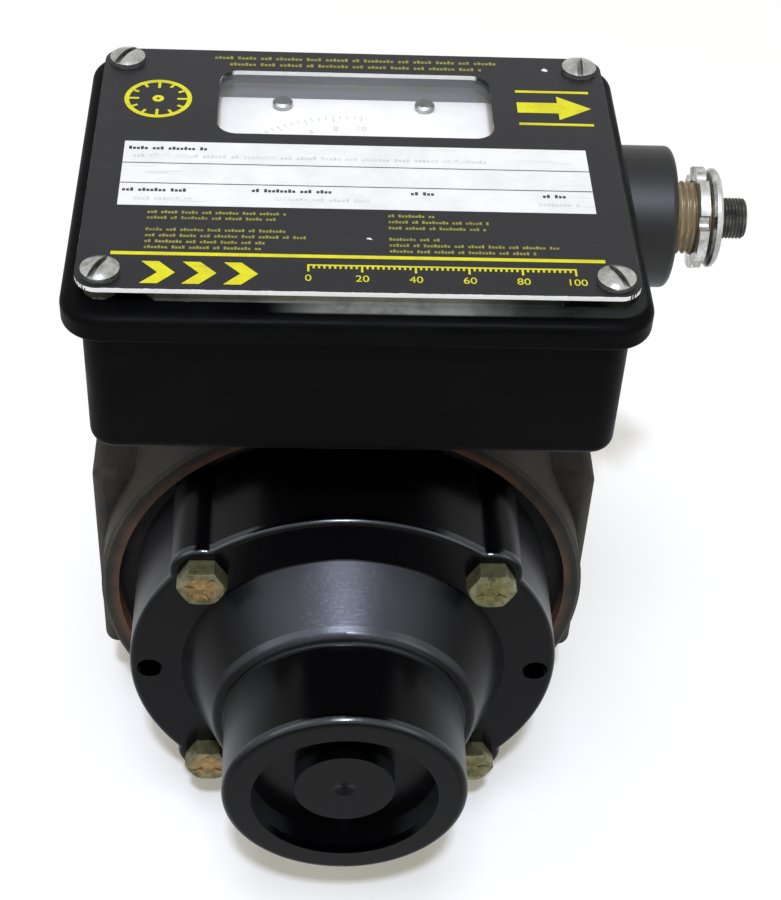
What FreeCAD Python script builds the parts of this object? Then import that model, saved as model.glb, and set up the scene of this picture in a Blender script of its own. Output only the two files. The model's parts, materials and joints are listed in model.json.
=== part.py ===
"""Piston flow monitor with an indicating control box.

Millimetres, +Z up. The origin is on the flat base, below the middle of the lid plate.
The bonnet points to -Y, the threaded ports are at -X and +X, the box stands on the neck.
"""
import FreeCAD
import Part
import math
import os

Vector = FreeCAD.Vector
X_DIR = Vector(1, 0, 0)
Y_DIR = Vector(0, 1, 0)
Z_DIR = Vector(0, 0, 1)
SIDES = (-1, 1)
TINY = 1e-4               # for comparing coordinates

# Fits
RUN_CLEAR = 0.05          # radial gap of a turning or sliding shaft
FREE_CLEAR = 0.4          # gap between pieces that pass each other
SCREW_CLEAR = 0.25        # radial gap of a screw in a plain hole

# Bonnet
DRUM_R = 65.0
DRUM_L = 35.7
DRUM_EDGE = 1.8
DRUM_WALL = 12.0
LOBE_R = 9.7
VALLEY_R = 3.0            # fillet where a lobe meets the drum
BOLT_INSET = 5.7          # bolt circle inside the drum
FLANGE_WALL = 7.0
HUB_STEP = 15.7           # from the drum's radius to the hub's root
HUB_L = 20.2
HUB_TAPER = 10.6          # radius lost along the hub
HUB_WALL = 7.3
SHOULDER_W = 3.1          # flat step from the hub's end to the nose
SHOULDER_ROUND = 1.5      # length of face that the shoulder's round takes
NOSE_L = 28.0
NOSE_WALL = 7.6
NOSE_ROOT = 1.2
END_EDGE = 2.2
END_WALL = 7.0
END_RING_T = 8.5          # rim around the end groove
END_GROOVE_D = 9.0
BOSS_R = 14.6
BOSS_SINK = 3.5           # boss face behind the end face
BOSS_WALL = 6.5           # in front of the stem bore
DIMPLE_R = 3.2
DIMPLE_D = 1.2
JACK_HOLE_R = 3.95
JACK_HOLE_INSET = 6.0     # jack holes inside the drum
GASKET_T = 0.8
GASKET_LAP = 0.6          # gasket edge outside the cavity

# Bonnet bolts, five sixteenths inch hex
BOLT_R = 3.97
BOLT_AF = 12.7
BOLT_HEAD_H = 5.6
BOLT_GRIP = 16.0          # thread in the body
BOLT_FACE_CHAMFER = 0.8

# Flow body casting
BODY_FRONT_Y = -19.3      # face of the rim around the bonnet
BODY_D = 77.3             # depth of the round part
BODY_BACK_FILLET = 8.0
RIM_T = 5.5               # width of the rim around the bonnet recess
RIM_EDGE = 1.2            # broken outer edge of the rim
RECESS_CLEAR = 1.5        # around the bolt lobes
RECESS_D = 5.5            # depth of the bonnet recess
BASE_CUT = 3.0            # flat milled off the bottom
BLOCK_SETBACK = 12.3      # port block behind the rim face
BLOCK_H = 81.0
BLOCK_D = 86.0
BLOCK_FILLET = 4.0
PORT_STAND = 2.0          # port face outside the round part
PORT_THREAD_R = 22.225    # drill size of a one and a half inch taper pipe thread
PORT_THREAD_L = 26.0
PORT_BORE_R = 19.0
PORT_CHAMFER = 2.0
RETURN_EDGE = 1.0         # crescent passage to the outlet, inside the bonnet's cavity
RETURN_W = 7.0
RETURN_HALF_ANGLE = 48.0
RETURN_D = 65.5
METER_WALL = 5.0          # between the crescent and the metering bore
METER_TAPER = 4.6         # radius lost from mouth to floor
METER_D = 27.8
REAR_R = 25.0             # inlet chamber behind the seat
REAR_D = 48.0

# Neck that carries the control box
NECK_W = 64.0
NECK_D = 54.0
NECK_SETBACK = 3.3        # behind the rim face
NECK_CORNER_R = 10.0
NECK_H = 20.4             # above the top of the round part
BOX_SCREW_INSET_X = 9.0   # from the neck's sides
BOX_SCREW_INSET_Y = 8.0   # from the neck's front and back
BOX_SCREW_R = 2.5
BOX_SCREW_L = 14.0
BOX_SCREW_HEAD_R = 4.25
BOX_SCREW_HEAD_H = 5.0
BOX_SCREW_SOCKET_R = 2.3
BOX_SCREW_SOCKET_D = 2.6
BOX_GASKET_T = 0.8

# Piston, seat and stem guide
SEAT_SHOULDER = 4.0       # seat ring outside the inlet chamber
SEAT_RING_W = 8.0
SEAT_POCKET_D = 6.0
SEAT_STAND = 1.0          # seat face ahead of the bore's floor
SEAT_GAP = 0.3
PISTON_GAP = 0.9          # around the piston when it is closed
PISTON_T = 5.0
PISTON_TRAVEL = 18.0
COLLAR_R = 29.0
COLLAR_T = 3.0
GROOVE_ROOT_R = 10.0
STEM_R = 6.0
STEM_END_GAP = 1.0        # left in the bore at full stroke
STEM_TIP_CHAMFER = 1.0
STEM_BUSHING_WALL = 3.0
STEM_BUSHING_L = 30.0
GUIDE_TUBE_WALL = 4.0
SPRING_WIRE_R = 1.5
SPRING_CLEAR = 3.0        # around the guide tube
SPRING_TURNS = 5
SPRING_WIRE_SIDES = 8

# Lever shaft through the neck
SHAFT_R = 3.5
SHAFT_BUSHING_WALL = 2.0
SHAFT_BUSHING_L = 24.0
SEAL_H = 3.0
SHAFT_END_STAND = 1.0     # shaft below the crank arm
CRANK_L = 18.0
CRANK_T = 4.0
CRANK_HUB_R = 8.0
CRANK_END_R = 4.5
CRANK_LIFT = 2.5          # arm above the piston's edge
CRANK_PIN_R = 2.0
CRANK_PIN_LOW = 8.0       # pin's lower end above the bonnet axis
GROOVE_PLAY = 0.6         # each side of the crank pin
POCKET_CLEAR = 3.0
GLAND_R = 8.5
GLAND_L = 14.0
GLAND_SLOT_W = 3.0
GLAND_SLOT_D = 3.0

# Lid
PLATE_HX = 71.4           # half sizes of the lid plate
PLATE_HY = 55.05
PLATE_T = 1.3
PLATE_CORNER_R = 6.0
LID_GASKET_T = 0.6
SCREW_INSET = 6.4
WINDOW_W = 76.8
WINDOW_D = 31.4
WINDOW_INSET = 10.45      # from the plate's far edge
WINDOW_CORNER_R = 5.5
PANE_LAP = 4.5
PANE_T = 3.0
LID_SCREW_R = 2.4
LID_SCREW_L = 9.0
LID_SCREW_HEAD_R = 4.95
LID_SCREW_SIDE_H = 1.5    # straight side of the head
LID_SCREW_DOME_H = 1.5
LID_SCREW_SLOT_W = 1.6
LID_SCREW_SLOT_D = 1.6
LID_SCREW_ANGLES = (62, 55, 118, 88)

# Control box
LIP_SINK = 1.6            # lip inside the plate's edge
LIP_T = 2.6
LIP_H = 3.1
CAVITY_CHAMFER = 17.0
END_WALL_T = 3.4          # box walls at the ends and along the sides
SIDE_WALL_T = 5.45
WALL_CORNER_R = 7.0
BOX_H = 41.8              # wall below the rim
BOX_FLOOR_T = 3.5
BOX_BOTTOM_ROUND = 3.5
RIM_OVER = 4.9            # rim beyond the wall
RIM_H = 7.8
RIM_CORNER_R = 11.0
RIM_TOP_ROUND = 2.6
RIM_LOW_ROUND = 1.2
POST_R = 4.6
SIDE_HUB_R = 20.6
SIDE_HUB_L = 21.4
SIDE_HUB_Y = 23.0
SIDE_HUB_LIFT = 21.95     # hub's axis above the box's underside
SIDE_HUB_EDGE = 1.8
SHAFT_HOLE_R = 14.0

# Scale and pointer
SCALE_W = 84.0
SCALE_D = 30.0
SCALE_GAP = 3.25          # from the box's far wall
SCALE_T = 1.0
SCALE_DROP = 12.6         # scale face below the plate's top
SCALE_SCREW_DX = 20.6
SCALE_SCREW_INSET = 3.8
SCALE_SCREW_R = 1.5
SCALE_SCREW_L = 7.0
SCALE_SCREW_HEAD_R = 2.9
SCALE_SCREW_HEAD_H = 1.9
SCALE_POST_AF = 6.0
POINTER_LIFT = 2.4
POINTER_T = 0.8
POINTER_L = 45.0
POINTER_LEAD = 25.0       # hand ahead of the crank, in degrees
POINTER_W = 5.0
POINTER_TIP_W = 0.9
POINTER_HUB_R = 7.0
POINTER_HUB_H = 3.0
SHAFT_TOP_STAND = 1.2     # shaft above the pointer

# Switch cam and limit switch
CAM_BASE_R = 8.0
CAM_LOBE_R = 12.5
CAM_LOBE_ANGLE = 146.0    # from +X at no flow
CAM_LOBE_SPREAD = 40.0
CAM_T = 5.0
CAM_GAP = 2.0             # lobe to lever
SWITCH_LIFT = 16.0        # switch underside above the floor
SWITCH_L = 27.8
SWITCH_H = 15.9
SWITCH_T = 10.3
SWITCH_EDGE = 1.0
SWITCH_HOLE_SPAN = 22.2
SWITCH_HOLE_DEPTH = 10.3  # below the plunger face
SWITCH_SCREW_R = 1.45
SWITCH_SCREW_HEAD_R = 2.75
SWITCH_SCREW_HEAD_H = 1.8
PLUNGER_R = 1.4
PLUNGER_ARM = 6.0         # plunger from the lever's hinge
PLUNGER_DEPTH = 5.0
PLUNGER_STROKE = 1.0      # room below the plunger
PLUNGER_GAP = 0.1         # to the lever's leaf
LEVER_T = 0.5
LEVER_W = 4.2
LEVER_L = 22.0
LEVER_TILT = 5.0          # free angle at rest
LEVER_PIN_R = 0.8
LEVER_EYE_R = 1.6
LEVER_TIP_R = 2.0
LEVER_END_INSET = 2.6     # hinge from the switch's end
BRACKET_T = 1.5
BRACKET_LAP = 2.0
BRACKET_FOOT = 11.0
BRACKET_SCREW_SPAN = 18.0

# Terminal block
TERMINAL_COUNT = 6
TERMINAL_PITCH = 7.6
TERMINAL_W = 16.0
TERMINAL_H = 9.0
TERMINAL_GAP = 10.0       # from the box's end wall
BARRIER_T = 1.4
BARRIER_H = 4.5
TERMINAL_SCREW_R = 2.4
TERMINAL_SCREW_H = 1.6
TERMINAL_SCREW_SLOT = 0.8

# Receptacle in the side hub
NIPPLE_R = 10.65
NIPPLE_DEPTH = 17.0       # thread in the hub
NIPPLE_BORE_R = 7.5
LOCK_NUT_R = 14.8
LOCK_NUT_T = 2.7
LOCK_NUT_STAND = 7.3      # from the hub's end
LOCK_NUT_NOTCHES = 6
LOCK_NUT_NOTCH_R = 2.2
COLLAR_GAP = 1.4          # lock nut to collar ring
COLLAR_RING_R = 14.4
COLLAR_RING_T = 2.6
COLLAR_RING_EDGE = 0.8
COLLAR_SEAT_STEP = 2.0    # seat's radius beyond the connector's
CONNECTOR_R = 6.0
CONNECTOR_L = 8.8
CONNECTOR_CHAMFER = 0.6
CONNECTOR_BORE_R = 4.3
RELIEF_L = 0.8            # undercut between the collar and the connector's thread
RELIEF_D = 0.6
INSERT_SINK = 5.0
INSERT_TAIL = 9.0         # insert behind the collar
CONTACT_R = 0.5
CONTACT_CIRCLE_R = 2.5
CONTACT_COUNT = 4
CONTACT_STAND = 3.6
CONTACT_TAIL = 3.0

# Radii that follow from the bonnet outwards and inwards
HUB_R = DRUM_R - HUB_STEP
SHOULDER_R = HUB_R - HUB_TAPER
NOSE_R = SHOULDER_R - SHOULDER_W
BOLT_CIRCLE_R = DRUM_R - BOLT_INSET
RECESS_R = BOLT_CIRCLE_R + LOBE_R + RECESS_CLEAR
BODY_R = RECESS_R + RIM_T
AXIS_Z = BODY_R - BASE_CUT
CAVITY_R = DRUM_R - DRUM_WALL
RETURN_R = CAVITY_R - RETURN_EDGE
METER_R_OUT = RETURN_R - RETURN_W - METER_WALL
METER_R_IN = METER_R_OUT - METER_TAPER
PISTON_R = METER_R_IN - PISTON_GAP
SEAT_RING_R = REAR_R + SEAT_SHOULDER
STEM_BUSHING_R = STEM_R + RUN_CLEAR + STEM_BUSHING_WALL
GUIDE_TUBE_R = STEM_BUSHING_R + GUIDE_TUBE_WALL
SPRING_R = GUIDE_TUBE_R + SPRING_CLEAR + SPRING_WIRE_R
SHAFT_BORE_R = SHAFT_R + RUN_CLEAR + SHAFT_BUSHING_WALL

# Places along Y
SEAT_Y = BODY_FRONT_Y + RECESS_D
BODY_BACK_Y = BODY_FRONT_Y + BODY_D
BLOCK_FRONT_Y = BODY_FRONT_Y + BLOCK_SETBACK
PORT_Y = BLOCK_FRONT_Y + BLOCK_D / 2
PORT_X = BODY_R + PORT_STAND
NECK_FRONT_Y = BODY_FRONT_Y + NECK_SETBACK
METER_FLOOR_Y = SEAT_Y + METER_D
SEAT_FACE_Y = METER_FLOOR_Y - SEAT_STAND
BONNET_BACK_Y = SEAT_Y - GASKET_T
DRUM_FRONT_Y = BONNET_BACK_Y - DRUM_L
SHOULDER_Y = DRUM_FRONT_Y - HUB_L
END_Y = SHOULDER_Y - NOSE_L
BOSS_Y = END_Y + BOSS_SINK
STEM_BORE_END_Y = BOSS_Y + BOSS_WALL
NOSE_FLOOR_Y = END_Y + END_GROOVE_D + END_WALL
PISTON_BACK_Y = SEAT_FACE_Y - SEAT_GAP
GROOVE_W = 2 * (CRANK_PIN_R + GROOVE_PLAY)
GROOVE_Y = PISTON_BACK_Y - PISTON_T - GROOVE_W / 2
COLLAR_FRONT_Y = GROOVE_Y - GROOVE_W / 2 - COLLAR_T
STEM_TIP_Y = STEM_BORE_END_Y + STEM_END_GAP + PISTON_TRAVEL
SHAFT_Y = GROOVE_Y - PISTON_TRAVEL / 2
CRANK_ANGLE = math.degrees(math.asin(PISTON_TRAVEL / 2 / CRANK_L))

# Heights
CRANK_Z = AXIS_Z + PISTON_R + CRANK_LIFT
POCKET_TOP_Z = CRANK_Z + CRANK_T + POCKET_CLEAR
NECK_TOP_Z = AXIS_Z + BODY_R + NECK_H
GLAND_BOTTOM_Z = NECK_TOP_Z - GLAND_L
BUSHING_TOP_Z = GLAND_BOTTOM_Z - SEAL_H
BOX_BOTTOM_Z = NECK_TOP_Z + BOX_GASKET_T
FLOOR_Z = BOX_BOTTOM_Z + BOX_FLOOR_T
RIM_BOTTOM_Z = BOX_BOTTOM_Z + BOX_H
LEDGE_Z = RIM_BOTTOM_Z + RIM_H
LIP_TOP_Z = LEDGE_Z + LIP_H
PLATE_BOTTOM_Z = LIP_TOP_Z + LID_GASKET_T
PLATE_TOP_Z = PLATE_BOTTOM_Z + PLATE_T
SIDE_HUB_Z = BOX_BOTTOM_Z + SIDE_HUB_LIFT
SCALE_TOP_Z = PLATE_TOP_Z - SCALE_DROP
POINTER_Z = SCALE_TOP_Z + POINTER_LIFT
SHAFT_TOP_Z = POINTER_Z + POINTER_T + SHAFT_TOP_STAND
SWITCH_BOTTOM_Z = FLOOR_Z + SWITCH_LIFT
SWITCH_MID_Z = SWITCH_BOTTOM_Z + SWITCH_T / 2

# Box, from the plate inwards and then outwards
LIP_HX = PLATE_HX - LIP_SINK
LIP_HY = PLATE_HY - LIP_SINK
LIP_CHAMFER = CAVITY_CHAMFER + LIP_T * (2 - math.sqrt(2))
CAVITY_HX = LIP_HX - LIP_T
CAVITY_HY = LIP_HY - LIP_T
WALL_HX = CAVITY_HX + END_WALL_T
WALL_HY = CAVITY_HY + SIDE_WALL_T
RIM_HX = WALL_HX + RIM_OVER
RIM_HY = WALL_HY + RIM_OVER
WINDOW_Y = PLATE_HY - WINDOW_INSET - WINDOW_D / 2
SCALE_FAR_Y = CAVITY_HY - SCALE_GAP
TERMINAL_X = CAVITY_HX - TERMINAL_GAP - TERMINAL_W / 2
TERMINAL_Y = CAVITY_CHAMFER - CAVITY_HY

# Switch, set off from the cam
LEVER_REACH = 2 * LEVER_EYE_R + FREE_CLEAR + LEVER_TIP_R + LEVER_L * math.sin(math.radians(LEVER_TILT))
SWITCH_FACE_X = -(CAM_LOBE_R + CAM_GAP + LEVER_REACH)
SWITCH_BACK_X = SWITCH_FACE_X - SWITCH_H
HINGE_X = SWITCH_FACE_X + LEVER_EYE_R + FREE_CLEAR
HINGE_Y = SHAFT_Y - LEVER_L + LEVER_TIP_R
SWITCH_FRONT_Y = HINGE_Y - LEVER_END_INSET
PLUNGER_Y = HINGE_Y + PLUNGER_ARM
LEVER_SLOPE = math.tan(math.radians(LEVER_TILT))
PLUNGER_TOP_X = HINGE_X + LEVER_EYE_R - LEVER_T + (PLUNGER_ARM - PLUNGER_R) * LEVER_SLOPE - PLUNGER_GAP
RISER_X = SWITCH_BACK_X - BRACKET_LAP - BRACKET_T

# Receptacle, outwards from the hub's end
SIDE_HUB_X = WALL_HX + SIDE_HUB_L
LOCK_NUT_X = SIDE_HUB_X + LOCK_NUT_STAND
COLLAR_RING_X = LOCK_NUT_X + LOCK_NUT_T + COLLAR_GAP
CONNECTOR_X = COLLAR_RING_X + COLLAR_RING_T
CONNECTOR_END_X = CONNECTOR_X + CONNECTOR_L
COLLAR_SEAT_R = CONNECTOR_R + COLLAR_SEAT_STEP

# Patterns
BOLT_OFFSET = BOLT_CIRCLE_R * math.sqrt(0.5)
BOLT_PLACES = [(sx * BOLT_OFFSET, AXIS_Z + sz * BOLT_OFFSET) for sx in SIDES for sz in SIDES]
JACK_HOLE_PLACES = [side * (DRUM_R - JACK_HOLE_INSET) for side in SIDES]
LID_SCREW_X = PLATE_HX - SCREW_INSET
LID_SCREW_Y = PLATE_HY - SCREW_INSET
LID_SCREW_PLACES = [(sx * LID_SCREW_X, sy * LID_SCREW_Y) for sx in SIDES for sy in SIDES]
SCALE_SCREW_PLACES = [(side * SCALE_SCREW_DX, SCALE_FAR_Y - SCALE_SCREW_INSET) for side in SIDES]


def block(x0, x1, y0, y1, z0, z1):
    return Part.makeBox(x1 - x0, y1 - y0, z1 - z0, Vector(x0, y0, z0))


def round_x(radius, x0, x1, y=SIDE_HUB_Y, z=SIDE_HUB_Z):
    return Part.makeCylinder(radius, x1 - x0, Vector(x0, y, z), X_DIR)


def round_y(radius, y0, y1, x=0.0, z=AXIS_Z):
    return Part.makeCylinder(radius, y1 - y0, Vector(x, y0, z), Y_DIR)


def round_z(radius, z0, z1, x=0.0, y=SHAFT_Y):
    return Part.makeCylinder(radius, z1 - z0, Vector(x, y, z0), Z_DIR)


def tube_y(radius, bore, y0, y1):
    return round_y(radius, y0, y1).cut(round_y(bore, y0, y1))


def tube_z(radius, bore, z0, z1):
    return round_z(radius, z0, z1).cut(round_z(bore, z0, z1))


def prism(points, direction):
    """Solid swept from a closed outline of points along a direction."""
    wire = Part.makePolygon(points + points[:1])
    return Part.Face(wire).extrude(direction)


def is_upright(edge):
    return edge.BoundBox.XLength + edge.BoundBox.YLength < TINY


def edges_at(shape, axis, value):
    """Edges that lie in the plane where one coordinate has a value."""
    found = []
    for edge in shape.Edges:
        box = edge.BoundBox
        low, high = {"x": (box.XMin, box.XMax), "y": (box.YMin, box.YMax), "z": (box.ZMin, box.ZMax)}[axis]
        if abs(low - value) + abs(high - value) < TINY:
            found.append(edge)
    return found


def rounded_slab(half_x, half_y, corner, z0, z1, x=0.0, y=0.0):
    """Upright slab with rounded corners."""
    slab = block(x - half_x, x + half_x, y - half_y, y + half_y, z0, z1)
    return slab.makeFillet(corner, [e for e in slab.Edges if is_upright(e)])


def cut_corner_slab(half_x, half_y, chamfer, z0, z1):
    """Upright slab with its corners cut off at 45 degrees."""
    slab = block(-half_x, half_x, -half_y, half_y, z0, z1)
    return slab.makeChamfer(chamfer, [e for e in slab.Edges if is_upright(e)])


def turned_y(profile):
    """Solid turned about the bonnet axis from (radius, y) points.

    A point with a third value is reached by an arc that rounds off that sharp corner.
    """
    edges = []
    place = [Vector(p[0], p[1], AXIS_Z) for p in profile]
    for i, item in enumerate(profile):
        before = place[i - 1]
        if len(item) == 3:
            corner = Vector(item[2][0], item[2][1], AXIS_Z)
            half_way = (before + place[i]) * 0.5 - corner
            cut = before.distanceToPoint(corner)
            centre = corner + half_way * (cut / half_way.Length) ** 2
            radius = centre.distanceToPoint(before)
            middle = centre + (corner - centre).normalize() * radius
            edges.append(Part.Arc(before, middle, place[i]).toShape())
        else:
            edges.append(Part.makeLine(before, place[i]))
    face = Part.Face(Part.Wire(edges))
    return face.revolve(Vector(0, 0, AXIS_Z), Y_DIR, 360)


def ring_sector(r_in, r_out, half_angle, y0, y1):
    """Crescent about the bonnet axis, centred on +X."""
    reach = math.radians(half_angle)

    def point(radius, angle):
        return Vector(radius * math.cos(angle), y0, AXIS_Z + radius * math.sin(angle))

    edges = [
        Part.Arc(point(r_out, -reach), point(r_out, 0), point(r_out, reach)).toShape(),
        Part.makeLine(point(r_out, reach), point(r_in, reach)),
        Part.Arc(point(r_in, reach), point(r_in, 0), point(r_in, -reach)).toShape(),
        Part.makeLine(point(r_in, -reach), point(r_out, -reach)),
    ]
    return Part.Face(Part.Wire(edges)).extrude(Vector(0, y1 - y0, 0))


def hex_points(across_flats):
    """Corners of a hexagon about zero."""
    radius = across_flats / math.sqrt(3)
    angles = [math.radians(60 * i) for i in range(6)]
    return [(radius * math.cos(a), radius * math.sin(a)) for a in angles]


def neck_sheet(z0, z1):
    """The neck's outline between two heights."""
    half_y = NECK_D / 2
    return rounded_slab(NECK_W / 2, half_y, NECK_CORNER_R, z0, z1, 0, NECK_FRONT_Y + half_y)


def box_screw_places():
    x = NECK_W / 2 - BOX_SCREW_INSET_X
    front = NECK_FRONT_Y + BOX_SCREW_INSET_Y
    back = NECK_FRONT_Y + NECK_D - BOX_SCREW_INSET_Y
    return [(side * x, y) for side in SIDES for y in (front, back)]


def port_cut(side):
    """Threaded mouth, lead-in and bore of one port."""
    inward = Vector(-side, 0, 0)
    mouth = Vector(side * PORT_X, PORT_Y, AXIS_Z)
    thread = Part.makeCylinder(PORT_THREAD_R, PORT_THREAD_L, mouth, inward)
    lead = Part.makeCone(PORT_THREAD_R + PORT_CHAMFER, PORT_THREAD_R, PORT_CHAMFER, mouth, inward)
    inner_x = 0.0 if side < 0 else RETURN_R - RETURN_W
    bore = Part.makeCylinder(PORT_BORE_R, PORT_X - inner_x, mouth, inward)
    return thread.fuse([lead, bore])


def lever_pocket():
    """Room for the crank arm above the metering bore, open to the bonnet."""
    right_x = CRANK_L + CRANK_END_R + POCKET_CLEAR
    left_x = -CRANK_HUB_R - POCKET_CLEAR
    back_y = GROOVE_Y + CRANK_END_R + POCKET_CLEAR
    return block(left_x, right_x, SEAT_Y, back_y, AXIS_Z, POCKET_TOP_Z)


def body_blank():
    """Round part, port block and neck before machining."""
    drum = round_y(BODY_R, BODY_FRONT_Y, BODY_BACK_Y)
    drum = drum.makeFillet(BODY_BACK_FILLET, edges_at(drum, "y", BODY_BACK_Y))
    drum = drum.makeChamfer(RIM_EDGE, edges_at(drum, "y", BODY_FRONT_Y))
    half_h = BLOCK_H / 2
    ports = block(-PORT_X, PORT_X, BLOCK_FRONT_Y, BLOCK_FRONT_Y + BLOCK_D, AXIS_Z - half_h, AXIS_Z + half_h)
    ports = ports.makeFillet(BLOCK_FILLET, ports.Edges)
    return drum.fuse([ports, neck_sheet(AXIS_Z, NECK_TOP_Z)])


def flow_body():
    cuts = [block(-BODY_R, BODY_R, BODY_FRONT_Y, BODY_BACK_Y, -BASE_CUT, 0)]
    cuts.append(round_y(RECESS_R, BODY_FRONT_Y, SEAT_Y))
    mouth = Vector(0, SEAT_Y, AXIS_Z)
    cuts.append(Part.makeCone(METER_R_OUT, METER_R_IN, METER_D, mouth, Y_DIR))
    cuts.append(round_y(SEAT_RING_R, METER_FLOOR_Y, METER_FLOOR_Y + SEAT_POCKET_D))
    cuts.append(round_y(REAR_R, METER_FLOOR_Y, METER_FLOOR_Y + REAR_D))
    cuts.append(ring_sector(RETURN_R - RETURN_W, RETURN_R, RETURN_HALF_ANGLE, SEAT_Y, SEAT_Y + RETURN_D))
    cuts.append(lever_pocket())
    cuts += [port_cut(side) for side in SIDES]
    cuts += [round_y(BOLT_R, SEAT_Y, SEAT_Y + BOLT_GRIP, x, z) for x, z in BOLT_PLACES]
    cuts.append(round_z(SHAFT_BORE_R, CRANK_Z, GLAND_BOTTOM_Z))
    cuts.append(round_z(GLAND_R, GLAND_BOTTOM_Z, NECK_TOP_Z))
    cuts += [round_z(BOX_SCREW_R, FLOOR_Z - BOX_SCREW_L, NECK_TOP_Z, x, y) for x, y in box_screw_places()]
    return body_blank().cut(cuts)


def is_valley(edge):
    """True for the sharp lines where a lobe leaves the drum."""
    spot = edge.CenterOfMass
    reach = math.hypot(spot.x, spot.z - AXIS_Z)
    near = min(math.hypot(spot.x - x, spot.z - z) for x, z in BOLT_PLACES)
    along = edge.BoundBox.XLength + edge.BoundBox.ZLength < TINY
    return along and abs(reach - DRUM_R) < TINY and abs(near - LOBE_R) < TINY


def lobed_drum(y0, y1):
    """Round drum with a lobe at each bolt, the valleys filleted."""
    drum = round_y(DRUM_R, y0, y1)
    drum = drum.fuse([round_y(LOBE_R, y0, y1, x, z) for x, z in BOLT_PLACES]).removeSplitter()
    return drum.makeFillet(VALLEY_R, [e for e in drum.Edges if is_valley(e)])


def bolt_clearance_holes(y0, y1):
    return [round_y(BOLT_R + SCREW_CLEAR, y0, y1, x, z) for x, z in BOLT_PLACES]


def bonnet_nose():
    """Tapered hub, shoulder, nose, end groove and boss, turned."""
    slope = math.hypot(HUB_TAPER, HUB_L)
    round_r = SHOULDER_R + SHOULDER_ROUND * HUB_TAPER / slope
    round_y0 = SHOULDER_Y + SHOULDER_ROUND * HUB_L / slope
    groove_r = NOSE_R - END_RING_T
    groove_y = END_Y + END_GROOVE_D
    return turned_y([
        (0, DRUM_FRONT_Y + FLANGE_WALL),
        (HUB_R, DRUM_FRONT_Y + FLANGE_WALL),
        (HUB_R, DRUM_FRONT_Y),
        (round_r, round_y0),
        (SHOULDER_R - SHOULDER_ROUND, SHOULDER_Y, (SHOULDER_R, SHOULDER_Y)),
        (NOSE_R + NOSE_ROOT, SHOULDER_Y),
        (NOSE_R, SHOULDER_Y - NOSE_ROOT, (NOSE_R, SHOULDER_Y)),
        (NOSE_R, END_Y + END_EDGE),
        (NOSE_R - END_EDGE, END_Y, (NOSE_R, END_Y)),
        (groove_r, END_Y),
        (groove_r, groove_y),
        (BOSS_R, groove_y),
        (BOSS_R, BOSS_Y),
        (DIMPLE_R, BOSS_Y),
        (0, BOSS_Y + DIMPLE_D),
    ])


def bonnet_cavity():
    """Fluid space, spring room and stem bore."""
    flange_y = DRUM_FRONT_Y + FLANGE_WALL
    shoulder_y = SHOULDER_Y + HUB_WALL
    tube_end_y = STEM_BORE_END_Y + STEM_BUSHING_L
    return turned_y([
        (0, BONNET_BACK_Y),
        (CAVITY_R, BONNET_BACK_Y),
        (CAVITY_R, flange_y),
        (HUB_R - HUB_WALL, flange_y),
        (SHOULDER_R - HUB_WALL, shoulder_y),
        (NOSE_R - NOSE_WALL, shoulder_y),
        (NOSE_R - NOSE_WALL, NOSE_FLOOR_Y),
        (GUIDE_TUBE_R, NOSE_FLOOR_Y),
        (GUIDE_TUBE_R, tube_end_y),
        (STEM_BUSHING_R, tube_end_y),
        (STEM_BUSHING_R, STEM_BORE_END_Y),
        (0, STEM_BORE_END_Y),
    ])


def bonnet():
    drum = lobed_drum(DRUM_FRONT_Y, BONNET_BACK_Y)
    drum = drum.makeFillet(DRUM_EDGE, edges_at(drum, "y", DRUM_FRONT_Y))
    cuts = [bonnet_cavity()] + bolt_clearance_holes(DRUM_FRONT_Y, BONNET_BACK_Y)
    cuts += [round_y(JACK_HOLE_R, DRUM_FRONT_Y, BONNET_BACK_Y, x) for x in JACK_HOLE_PLACES]
    return drum.fuse(bonnet_nose()).cut(cuts)


def bonnet_gasket():
    sheet = lobed_drum(BONNET_BACK_Y, SEAT_Y)
    inside = round_y(CAVITY_R + GASKET_LAP, BONNET_BACK_Y, SEAT_Y)
    return sheet.cut([inside] + bolt_clearance_holes(BONNET_BACK_Y, SEAT_Y))


def bonnet_bolt(x, z):
    """Hex head with a chamfered face, and its shank."""
    head_y = DRUM_FRONT_Y - BOLT_HEAD_H
    points = [Vector(x + dx, head_y, z + dz) for dx, dz in hex_points(BOLT_AF)]
    head = prism(points, Vector(0, BOLT_HEAD_H, 0))
    face_r = BOLT_AF / math.sqrt(3) - BOLT_FACE_CHAMFER
    taper = Part.makeCone(face_r, face_r + 2 * BOLT_HEAD_H, BOLT_HEAD_H, Vector(x, head_y, z), Y_DIR)
    shank = round_y(BOLT_R, DRUM_FRONT_Y, SEAT_Y + BOLT_GRIP, x, z)
    return head.common(taper).fuse(shank)


def bonnet_bolts():
    return Part.makeCompound([bonnet_bolt(x, z) for x, z in BOLT_PLACES])


def seat_ring():
    return tube_y(SEAT_RING_R, SEAT_RING_R - SEAT_RING_W, SEAT_FACE_Y, METER_FLOOR_Y + SEAT_POCKET_D)


def stem_bushing():
    return tube_y(STEM_BUSHING_R, STEM_R + RUN_CLEAR, STEM_BORE_END_Y, STEM_BORE_END_Y + STEM_BUSHING_L)


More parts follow.
